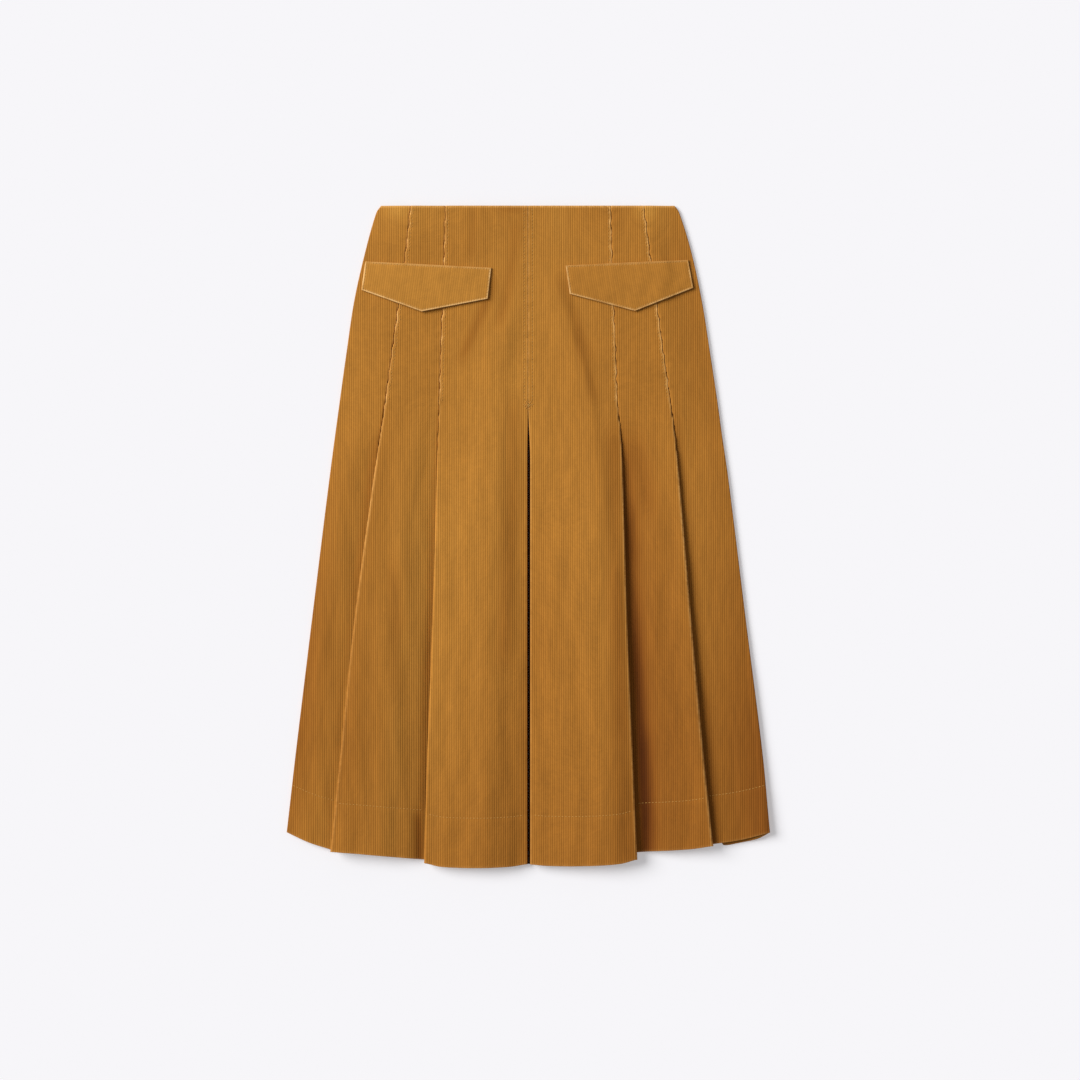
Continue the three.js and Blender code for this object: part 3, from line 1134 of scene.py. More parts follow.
    def knife_place(self, stretch: int, fall: float) -> Line:
        """Follow the cloth under a knife pleat, in from the panel below and back out.

        Args:
            stretch: The pleat's number along the row.
            fall: The row's share of the way from the waist to the hem.

        Returns:
            The distance, height and distance down of each point.
        """
        hem = self.half.hem
        name, before, after = "inner", hem.middle, hem.centre
        if stretch == 1:
            name, before, after = "outer", hem.side, hem.middle
        under, over = float(before(1.0)), float(after(0.0))
        down = fall * under
        low = getattr(self.half.section(np.array(down)), name)
        inside = float(low.inside)
        points = [(mix(float(low.edge), inside, 0.5), BASE, down), (inside, BASE, down)]
        for angle in HIDDEN_ANGLES:
            points.append((inside - HIDDEN_RADIUS * math.sin(angle),
                           BASE + HIDDEN_RADIUS - HIDDEN_RADIUS * math.cos(angle), down))
        for share in HIDDEN_SHARES:
            down = fall * mix(under, over, share)
            at = getattr(self.half.section(np.array(down)), name)
            rise = mix(BASE + LAYER_PITCH, float(at.under), ease(share))
            points.append((mix(float(at.inside), float(at.axis), share), rise, down))
        return points

    def centre_place(self, fall: float) -> Line:
        """Follow the cloth under the centre pleat, out from the slit and back in.

        Args:
            fall: The row's share of the way from the waist to the hem.

        Returns:
            The distance, height and distance down of each point.
        """
        down = fall * float(self.half.hem.centre(1.0))
        low = self.half.section(np.array(down)).centre
        inside = float(low.inside)
        points = []
        for share in HIDDEN_SHARES[1:]:
            rise = mix(BASE + LAYER_PITCH, float(low.under), ease(1 - share))
            points.append((mix(float(low.axis), inside, share), rise, down))
        points.append((inside, BASE + LAYER_PITCH, down))
        for angle in HIDDEN_ANGLES:
            points.append((inside + HIDDEN_RADIUS * math.sin(angle),
                           BASE + HIDDEN_RADIUS + HIDDEN_RADIUS * math.cos(angle), down))
        for dist in (inside, mix(inside, SEWN / 2, 0.5), SEWN / 2):
            points.append((dist, BASE, down))
        return points

    def row(self, fall: float) -> Points:
        """Lay one whole row, from the side seam to the centre front.

        Args:
            fall: The row's share of the way from the waist to the hem.

        Returns:
            The points.
        """
        stretches = []
        for number, panel in enumerate(Panel):
            stretches.append(self.panel_row(2 * number, panel, fall))
            stretches.append(self.hidden_row(2 * number + 1, fall))
        return Points.joined(stretches)

    def right_side(self, shell: Shell, row: Points, fall: float) -> Row:
        """Add one row of the right side, with its ribs.

        Args:
            shell: The shell that is being made.
            row: The row's points on the middle of the cloth.
            fall: The row's share of the way from the waist to the hem.

        Returns:
            The new vertices and their keys.
        """
        side_x, side_z = row.wrong_way()
        end = min(fall, 1 - fall) * LENGTH
        thick = np.minimum(rounded(end, CLOTH / 2), rounded(row.inset, CLOTH / 2))
        out = thick - RIB_DEPTH * ribs(row.grain) * row.ribbed * calm(end, row.inset)
        # The waist and hem rims are lightened by rubbing and by a painted highlight.
        rim_wear = bell(end, 1.5) * (WAIST_WEAR_AND_HIGHLIGHT if fall < 0.5 else HEM_WEAR_AND_HIGHLIGHT)
        wear = np.clip(row.wear + rim_wear * row.ribbed, 0, 1)
        place = (row.dist - side_x * out, row.height - side_z * out, row.down)
        added = shell.add(place, row.grain, shade=row.shade, wear=wear, ribbed=row.ribbed)
        return added, row.key

    def wrong_side(self, shell: Shell, row: Points, fall: float) -> Row:
        """Add one row of the wrong side, with points only where it bends and at each few ribs.

        Args:
            shell: The shell that is being made.
            row: The row's points on the middle of the cloth.
            fall: The row's share of the way from the waist to the hem.

        Returns:
            The new vertices and their keys.
        """
        phases = len(RIB_PHASES)
        steps = np.round(row.grain / RIB_PITCH * phases)
        picked = (row.ribbed < 0.5) | (np.mod(steps, self.inner_ribs * phases) == 0)
        picked[1:] |= np.abs(np.diff(row.height)) > BEND
        picked[0] = picked[-1] = True
        for mark in range(1, 2 * len(Panel)):
            picked |= np.abs(row.key - mark * self.stretch_span) < SAME_KEY
        pick = np.flatnonzero(picked)
        pick = pick[np.concatenate([[True], np.diff(row.key[pick]) > SAME_KEY])]
        side_x, side_z = row.wrong_way()
        thin = CLOTH / 2 * (0.5 if min(fall, 1 - fall) * LENGTH < 0.1 else 1.0)
        dist, height = row.dist + side_x * thin, row.height + side_z * thin
        added = shell.add((dist[pick], height[pick], row.down[pick]), row.grain[pick], wrong=1.0)
        return added, row.key[pick]

    def build(self) -> bpy.types.Object:
        """Make the front half.

        Returns:
            The front half as one closed shell.
        """
        shell = Shell(f"cloth_front_{self.half.side.word}", self.half.side.value)
        falls = self.falls()
        inner_at = sparse(len(falls), self.inner_every, (1, -2, -1))
        right, wrong = [], []
        for number, fall in enumerate(falls):
            row = self.row(float(fall))
            right.append(self.right_side(shell, row, fall))
            if number in inner_at:
                wrong.append(self.wrong_side(shell, row, fall))
        shell.close(right, wrong, inner_at)
        return shell.finish()


@dataclass
class BackHalf:
    """One plain half of the back, flat on the table with its ribs down."""

    half: Half
    row_step: float = 26.0
    inner_every: int = 16
    hem_rows: tuple[float, ...] = (-5, -2.5, -1.2, 0, 1.2, 2.5, 5)
    end_rows: tuple[float, ...] = (0, 0.2, 0.6, 1.3, 2.5)

    def falls(self) -> Array:
        """Lay out the rows, closer at both ends and by the hem's stitching.

        Returns:
            The shares of the way from the waist to the hem that they lie at.
        """
        stitch = np.array(self.hem_rows) / LENGTH + HEM_STITCH
        ends = np.array(self.end_rows) / LENGTH
        plain = np.arange(12 / LENGTH, 1 - 12 / LENGTH, self.row_step / LENGTH)
        plain = plain[np.abs(plain - HEM_STITCH) > 9 / LENGTH]
        return np.unique(np.concatenate([ends, plain, stitch, 1 - ends]))

    def build(self) -> bpy.types.Object:
        """Make the back half.

        Returns:
            The back half as one closed shell.
        """
        half = self.half
        shell = Shell(f"cloth_back_{half.side.word}", half.side.value)
        falls = self.falls()
        right, wrong = [], []
        for fall in falls:
            edge = self.edge_at(fall)
            grain = self.columns(edge)
            down = fall * half.hem.back(np.clip(grain / edge, 0, 1))
            rise = half.seam_rise(grain, down)
            end = min(fall, 1 - fall) * LENGTH
            inset = np.minimum(edge - grain, grain - SEWN / 2)
            thick = np.minimum(rounded(end, CLOTH / 2), rounded(inset, CLOTH / 2))
            groove = RIB_DEPTH * ribs(grain) * calm(end, inset)
            furrow = 0.4 * bell((fall - HEM_STITCH) * LENGTH, 1.3) + 0.35 * bell(grain, 1.6)
            key = -grain
            key[0], key[-1] = -FAR_KEY, FAR_KEY
            low = rise + CLOTH / 2 - thick + groove + furrow
            right.append((shell.add((grain, low, down), grain, ribbed=1.0), key))
            pick = sparse(len(grain), self.inner_every, (-1,))
            top = rise[pick] + CLOTH / 2 + rounded(end, CLOTH / 2)
            added = shell.add((grain[pick], top, down[pick]), grain[pick], wrong=1.0)
            wrong.append((added, key[pick]))
        shell.close(wrong, right, np.arange(len(falls)))
        return shell.finish()

    def edge_at(self, fall: float) -> float:
        """Return the side seam's distance from the centre back on one row."""
        down = fall * float(self.half.hem.back(1.0))
        return float(Track(self.half.lay.down, self.half.lay.edge)(down))

    @staticmethod
    def columns(edge: float) -> Array:
        """Return the places of a row's points, from the side seam in."""
        places = rib_places(edge, SEWN / 2, RIB_PHASES)
        return between(edge, np.concatenate([places, edge - np.array(RIM_INSETS)]), SEWN / 2)


@dataclass
class Flap:
    """A pointed pocket flap of two layers, turned and edge-stitched."""

    half: Half
    rows: int = 16
    ribs_across: int = 57
    depth: float = 46.0
    stitched_depth: float = 42.0
    steps: tuple[float, ...] = (0, 0.15, 0.45, 0.9, 1.5, 2.2, 3.0)
    rim: float = 0.86
    rib_depth: float = 0.14
    rib_tone: float = 0.5
    stitch_inset: float = 2.0

    @property
    def width(self) -> float:
        """Return the flap's width across its ribs."""
        return self.ribs_across * RIB_PITCH

    def place(self, across: Array, fall: Array) -> tuple[Array, Array]:
        """Return the distance and the distance down of places on the flap.

        Args:
            across: Shares of the way from the flap's outer end to its inner one.
            fall: Shares of the way from its top edge to its lower one.

        Returns:
            Distances from the centre front, and distances down from the waist.
        """
        cut = self.half.flap

        def along(key: str) -> Array:
            """Find one coordinate of the places.

            Args:
                key: Which coordinate of the corners to read.

            Returns:
                The coordinate at each place.
            """
            high = mix(getattr(cut.outer_top, key), getattr(cut.inner_top, key), across)
            tip = getattr(cut.point, key)
            outer = mix(getattr(cut.outer_low, key), tip, np.clip(across * 2, 0, 1))
            inner = mix(tip, getattr(cut.inner_low, key), np.clip(across * 2 - 1, 0, 1))
            return mix(high, np.where(across < 0.5, outer, inner), fall)

        return along("dist"), along("down")

    def height(self, across: Array, fall: Array) -> Array:
        """Return the height of the middle of the flap at some shares across and down it."""
        lifted = SEAM_GAP + FLAP_CLOTH / 2 + FLAP_LIFT * fall**2
        return self.half.under_flap(*self.place(across, fall)) + lifted

    def grid(self) -> tuple[Array, Array]:
        """Lay out the flap's points, closer at its rims.

        Returns:
            Their shares across the flap and down it, as two grids.
        """
        steps, width, depth = np.array(self.steps), self.width, self.depth
        fine = (np.arange(self.ribs_across)[:, None] + np.array(RIB_PHASES)).ravel()
        fine = fine / self.ribs_across
        fine = fine[(fine > 3.4 / width) & (fine < 1 - 3.4 / width)]
        across = np.unique(np.concatenate([steps / width, fine, 1 - steps / width]))
        middle = np.linspace(4.2 / depth, 1 - 4.2 / depth, self.rows)
        fall = np.unique(np.concatenate([steps / depth, middle, 1 - steps / depth]))
        return np.meshgrid(across, fall)

    def build(self) -> bpy.types.Object:
        """Make the flap.

        Returns:
            The flap as one closed shell.
        """
        half = self.half
        shell = Shell(f"cloth_flap_{half.side.word}", half.side.value)
        a, f = self.grid()
        grain = a * self.width
        dist, down = self.place(a, f)
        tall = self.place(a, np.ones_like(a))[1] - self.place(a, np.zeros_like(a))[1]
        inset = np.minimum(np.minimum(a, 1 - a) * self.width, np.minimum(f, 1 - f) * tall)
        thick = rounded(inset, FLAP_CLOTH / 2) * mix(self.rim, 1, ease((inset - 2) / 6))
        groove = self.rib_depth * ribs(grain) * ease((inset - 0.8) / 1.2)
        furrow = 0.28 * bell(inset - self.stitch_inset, 0.7)
        puff = 0.16 * np.sin(a * 31 + 2 * np.sin(f * 5)) * ease(inset / 9)
        middle = self.height(a, f)
        top = middle + (thick - groove - furrow + puff)
        low = middle - rounded(inset, FLAP_CLOTH / 2) * 0.98
        # The flap's rims, all but its top, are lightened by rubbing and a painted highlight, and
        # the whole flap gets its half's painted light and shade.
        wear = half.flap_rim * (1 - 0.8 * bell(f * tall, 2.0)) * bell(inset - 0.5, 1.3)
        keys = np.arange(a.shape[1])
        right, wrong = [], []
        for j in range(len(a)):
            added = shell.add((dist[j], top[j], down[j]), grain[j], shade=half.flap_shade,
                              wear=wear[j], ribbed=self.rib_tone)
            right.append((added, keys))
        cols = sparse(a.shape[1], 8, (1, 3, -4, -2, -1))
        rows = sparse(len(a), 3, (1, -2, -1))
        for j in rows:
            place = (dist[j][cols], low[j][cols], down[j][cols])
            wrong.append((shell.add(place, grain[j][cols], shade=half.flap_shade), keys[cols]))
        shell.close(right, wrong, rows)
        return shell.finish()

    def stitch_line(self) -> Line:
        """Lay the edge stitching round the flap.

        Returns:
            The line, each point with its height.
        """
        x, f = self.stitch_inset / self.width, self.stitch_inset / self.stitched_depth
        corners = [(x, f), (x, 1 - f), (0.5, 1 - f), (1 - x, 1 - f), (1 - x, f), (x, f)]
        line = []
        for (a0, f0), (a1, f1) in zip(corners, corners[1:]):
            for share in np.linspace(0, 1, 40, endpoint=False):
                a, fall = np.array(mix(a0, a1, share)), np.array(mix(f0, f1, share))
                dist, down = self.place(a, fall)
                top = self.height(a, fall) + FLAP_CLOTH / 2 * self.rim - 0.2
                line.append((float(dist), float(down), float(top)))
        return line


@dataclass
class Stitching:
    """Rows of thread, each stitch a small bowed capsule."""

    name: str
    sign: int
    stitch: float = 3.1
    gap: float = 1.0
    radius: float = 0.26
    sides: int = 6
    spine: tuple[float, ...] = (0, 0.16, 0.5, 0.84, 1)
    bow: tuple[float, ...] = (-0.3, 0.06, 0.2, 0.06, -0.3)
    swell: tuple[float, ...] = (0.85, 1.0, 0.85)
    points: list[tuple[float, float, float]] = field(default_factory=list)
    faces: list[tuple[int, ...]] = field(default_factory=list)

    def sew(self, line: Line) -> None:
        """Lay stitches along a line.

        Args:
            line: Points with their distance, distance down and surface height.
        """
        path = np.array([(self.sign * d, LENGTH / 2 - w, h) for d, w, h in line])
        reach = np.concatenate([[0], np.cumsum(np.linalg.norm(np.diff(path, axis=0), axis=1))])
        start = self.gap
        while start + self.stitch < reach[-1]:
            at = start + self.stitch * np.array(self.spine)
            spine = np.column_stack([np.interp(at, reach, path[:, k]) for k in range(3)])
            self.capsule(spine + np.outer(self.bow, [0, 0, 1]))
            start += self.stitch + self.gap

    def capsule(self, spine: Array) -> None:
        """Add one stitch.

        Args:
            spine: Five points along its middle, the first and last of which are its tips.
        """
        along = spine[-1] - spine[0]
        along = along / (np.linalg.norm(along) + TINY)
        up = np.array([0.0, 0.0, 1.0]) if abs(along[2]) < 0.9 else np.array([1.0, 0.0, 0.0])
        across = np.cross(along, up)
        across /= np.linalg.norm(across) + TINY
        raised = np.cross(across, along)
        base, sides = len(self.points), self.sides
        for point, size in zip(spine[1:-1], self.swell):
            for k in range(sides):
                angle = 2 * math.pi * k / sides
                turn = across * math.cos(angle) + raised * math.sin(angle)
                self.points.append(tuple((point + turn * self.radius * size) * MM))
        self.points += [tuple(spine[0] * MM), tuple(spine[-1] * MM)]
        first, last = base + 3 * sides, base + 3 * sides + 1
        for k in range(sides):
            n = (k + 1) % sides
            self.faces.append((first, base + n, base + k))
            for ring in range(2):
                a, b = base + ring * sides + k, base + ring * sides + n
                self.faces.append((a, b, b + sides, a + sides))
            self.faces.append((last, base + 2 * sides + k, base + 2 * sides + n))

    def build(self) -> bpy.types.Object:
        """Return all the stitches as one object."""
        mesh = bpy.data.meshes.new(self.name)
        mesh.from_pydata(self.points, [], self.faces)
        return into_scene(self.name, mesh)


class Graph:
    """A short way to write a material's nodes, whose values are sockets or constants."""

    def __init__(self, name: str) -> None:
        """Start a material without nodes.

        Args:
            name: The material's name.
        """
        self.material = bpy.data.materials.new(name)
        self.material.use_nodes = True
        self.tree = self.material.node_tree
        self.tree.nodes.clear()

    def node(self, kind: str, values: Iterable[object] = (), **settings: object) -> Node:
        """Add a node.

        Args:
            kind: The node's type, without its ShaderNode prefix.
            values: What its first inputs get, in order.
            settings: Properties of the node.

        Returns:
            The node.
        """
        made = self.tree.nodes.new(f"ShaderNode{kind}")
        for key, value in settings.items():
            setattr(made, key, value)
        for socket, value in zip(made.inputs, values):
            self.feed(socket, value)
        return made

    def feed(self, socket: Socket, value: object) -> None:
        """Link a socket into an input, or set the input where the value is a constant.

        Args:
            socket: The input.
            value: A socket or a constant.
        """
        if isinstance(value, Socket):
            self.tree.links.new(value, socket)
        else:
            socket.default_value = value

    def math(self, operation: str, *values: object) -> Socket:
        """Return the result of a Math node on its values."""
        return self.node("Math", values, operation=operation).outputs[0]

    def plus(self, first: object, *more: object) -> Socket:
        """Return the sum of some values."""
        return reduce(lambda a, b: self.math("ADD", a, b), more, first)

    def times(self, first: object, *more: object) -> Socket:
        """Return the product of some values."""
        return reduce(lambda a, b: self.math("MULTIPLY", a, b), more, first)

    def blend(self, factor: object, a: object, b: object, kind: str = "MIX") -> Socket:
        """Return two colours mixed by a factor."""
        return self.node("MixRGB", (factor, a, b), blend_type=kind).outputs[0]

    def attribute(self, name: str) -> list[Socket]:
        """Return the three parts of one of the mesh's attributes."""
        whole = self.node("Attribute", attribute_name=name).outputs["Vector"]
        return list(self.node("SeparateXYZ", (whole,)).outputs)

    def join(self, *parts: object) -> Socket:
        """Return a vector made of its parts."""
        return self.node("CombineXYZ", parts).outputs[0]

    def noise(self, vector: object, scale: float, detail: float = 2.0) -> Socket:
        """Return a noise between about 0.3 and 0.7.

        Args:
            vector: Where to read the noise.
            scale: How many times the place is enlarged.
            detail: How many finer layers it has.

        Returns:
            The noise.
        """
        made = self.node("TexNoise")
        for name, value in (("Vector", vector), ("Scale", scale), ("Detail", detail)):
            self.feed(made.inputs[name], value)
        return made.outputs["Fac"]

    def span(self, value: object, low: float, high: float, to_low: float = 0.0,
             to_high: float = 1.0) -> Socket:
        """Return a value mapped smoothly from one range to another."""
        values = (value, low, high, to_low, to_high)
        return self.node("MapRange", values, interpolation_type="SMOOTHSTEP").outputs[0]

    def spread_about(self, value: object, reach: float) -> Socket:
        """Return a noise mapped to a reach on either side of 0."""
        return self.span(value, 0.3, 0.7, -reach, reach)

    def close(self, looks: dict[str, object],
              bump: tuple[float, float, object] | None = None) -> bpy.types.Material:
        """End the material with a Principled shader.

        Args:
            looks: What the shader's inputs get, by name.
            bump: The strength, distance and height of a bump, if it has one.

        Returns:
            The material.
        """
        shader = self.node("BsdfPrincipled")
        for name, value in looks.items():
            self.feed(shader.inputs[name], value)
        if bump:
            made = self.node("Bump")
            for name, value in zip(("Strength", "Distance", "Height"), bump):
                self.feed(made.inputs[name], value)
            self.feed(shader.inputs["Normal"], made.outputs[0])
        self.node("OutputMaterial", (shader.outputs[0],))
        return self.material


@dataclass(frozen=True)
class Corduroy:
    """Brushed cotton corduroy: ribs of soft pile with darker grooves.

    The grooves' darker colour is painted shade. depths are the powers that the painted shade is
    raised to in red, green and blue, because the pile looks redder where it is darker. broad,
    brushed, mottled and lane are how far its lightness wanders over a hand's width, over a few
    ribs, within a rib and from rib to rib.
    """

    name: str
    pile: Colour = (0.462, 0.1965, 0.029)
    # The grooves' darker colour is painted shade.
    groove: Colour = (0.35, 0.132, 0.0158)
    # The colour of rubbing on the pile and of painted highlights on its edges and rims.
    worn_and_highlight: Colour = (0.92, 0.52, 0.17)
    sheen_tint: Colour = (1.0, 0.72, 0.4)
    roughness: float = 0.88
    sheen: float = 0.1
    depths: tuple[float, float, float] = (1.0, 1.38, 1.95)
    fibre: float = 0.09
    broad: float = 0.035
    brushed: float = 0.025
    mottled: float = 0.035
    lane: float = 0.05
    # How strongly the rubbing and the painted highlights show.
    rub: float = 0.8

    def material(self) -> bpy.types.Material:
        """Write the finish's nodes.

        Returns:
            The finish as a material.
        """
        g = Graph(self.name)
        grain, fall, wrong = g.attribute("cloth")
        shade, wear, ribbed = g.attribute("dress")
        pitches = g.math("DIVIDE", grain, RIB_PITCH)
        rib = g.math("ABSOLUTE", g.math("SUBTRACT", g.math("FRACT", pitches), 0.5))
        # The grooves are darkened as painted shade.
        colour = g.blend(g.times(g.span(rib, 0.26, 0.49), ribbed), (*self.pile, 1),
                         (*self.groove, 1))
        fibre = g.noise(g.join(g.times(grain, 2.6), g.times(fall, 0.75)), 1.0, 3.0)
        place = g.join(g.times(grain, MM), g.times(fall, MM), g.times(shade, 3.0))
        brushed = g.noise(place, 75.0, 2.0)
        lanes = g.join(g.times(g.math("FLOOR", pitches), 0.83), g.times(fall, 0.022))
        light = g.plus(
            g.span(fibre, 0.25, 0.75, 1 - self.fibre, 1 + self.fibre),
            g.spread_about(g.noise(place, 13.0, 3.0), self.broad),
            g.spread_about(brushed, self.brushed),
            g.spread_about(g.noise(place, 210.0, 3.0), self.mottled),
            g.times(g.spread_about(g.noise(lanes, 1.0, 1.0), self.lane),
                    g.math("SUBTRACT", 1.0, wrong)),
        )
        # The painted light and shade scale the pile's colour, redder where it is darker.
        tint = g.join(*(g.times(light, g.math("POWER", shade, depth)) for depth in self.depths))
        colour = g.blend(1.0, colour, tint, "MULTIPLY")
        # Rubbing and painted highlights lighten the pile, most on the ribs' tops.
        rubbed_and_highlit = g.times(wear, g.span(rib, 0.5, 0.3, 0.5, 1.0),
                         g.span(brushed, 0.35, 0.62, 0.45, 1.0), self.rub)
        looks = {
            "Base Color": g.blend(rubbed_and_highlit, colour, (*self.worn_and_highlight, 1)),
            "Roughness": self.roughness,
            "Specular IOR Level": 0.15,
            "Sheen Weight": self.sheen,
            "Sheen Roughness": 0.45,
            "Sheen Tint": (*self.sheen_tint, 1),
        }
        return g.close(looks, (0.5, 0.25 * MM, fibre))


@dataclass(frozen=True)
class Thread:
    """Spun polyester sewing thread with a fine twist."""

    name: str
    colour: Colour = (0.68, 0.37, 0.095)
    dark: float = 0.72

    def material(self) -> bpy.types.Material:
        """Write the finish's nodes.

        Returns:
            The finish as a material.
        """
        g = Graph(self.name)
        twist = g.noise(g.node("TexCoord").outputs["Object"], 1800.0, 2.0)
        shaded = (*(part * self.dark for part in self.colour), 1)
        looks = {
            "Base Color": g.blend(g.span(twist, 0.3, 0.7), shaded, (*self.colour, 1)),
            "Roughness": 0.75,
            "Specular IOR Level": 0.2,
        }
        return g.close(looks, (0.6, 0.08 * MM, twist))


@dataclass(frozen=True)
class TableTop:
    """The plain pale surface that the skirt is laid on, which is lit a little from below."""

    name: str = "table_top"
    colour: Colour = (0.930, 0.921, 0.947)
    glow: float = 0.34

    def material(self) -> bpy.types.Material:
        """Write the finish's nodes.

        Returns:
            The finish as a material.
        """
        looks = {
            "Base Color": (*(part * (1 - self.glow) for part in self.colour), 1),
            "Roughness": 1.0,
            "Specular IOR Level": 0.0,
            "Emission Color": (*self.colour, 1),
            "Emission Strength": self.glow,
        }
        return Graph(self.name).close(looks)


@dataclass
class Studio:
    """The table top, a soft key light from the upper left, a dome of fill and the camera."""

    key_elevation: float = 35.0
    key_bearing: float = 25.0
    key_softness: float = 35.0
    fill: float = 0.28
    view_width: float = 1307.0
    view_height: float = 4000.0
    view_centre: tuple[float, float] = (14.2, -4.2)
    table_size: float = 24.0
    table_drop: float = 0.1

    def build(self) -> None:
        """Make the stage, the lights and the camera."""
        below = (0, 0, -self.table_drop * MM)
        bpy.ops.mesh.primitive_plane_add(size=self.table_size, location=below)
        table = bpy.context.object
        table.name = "table_top"
        table.data.materials.append(TableTop().material())
        table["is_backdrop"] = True
        self.key_light()
        self.fill_light()
        self.camera()
        bpy.context.scene.view_settings.view_transform = "Standard"

    def key_light(self) -> None:
        """Add a soft sun that lights the table to a share of 1 together with the fill."""
        lamp = bpy.data.lights.new("key", "SUN")
        up, turn = math.radians(self.key_elevation), math.radians(self.key_bearing)
        lamp.energy = (1 - self.fill) * math.pi / math.sin(up)
        lamp.angle = math.radians(self.key_softness)
        key = bpy.data.objects.new("key", lamp)
        bpy.context.scene.collection.objects.link(key)
        key.rotation_euler = (0, -(math.pi / 2 - up), -turn)

    def fill_light(self) -> None:
        """Fill the shadows from all round."""
        world = bpy.data.worlds.new("fill")
        bpy.context.scene.world = world
        world.use_nodes = True
        back = world.node_tree.nodes["Background"]
        back.inputs["Color"].default_value = (1, 1, 1, 1)
        back.inputs["Strength"].default_value = self.fill

    def camera(self) -> None:
        """Look straight down on the skirt."""
        data = bpy.data.cameras.new("camera")
        data.sensor_width = 36
        data.lens = data.sensor_width * self.view_height / self.view_width
        data.clip_end = 100
        camera = bpy.data.objects.new("camera", data)
        bpy.context.scene.collection.objects.link(camera)
        x, y = self.view_centre
        camera.location = (x * MM, y * MM, self.view_height * MM)
        bpy.context.scene.camera = camera


SIDE, MIDDLE, CENTRE = Panel.SIDE, Panel.MIDDLE, Panel.CENTRE

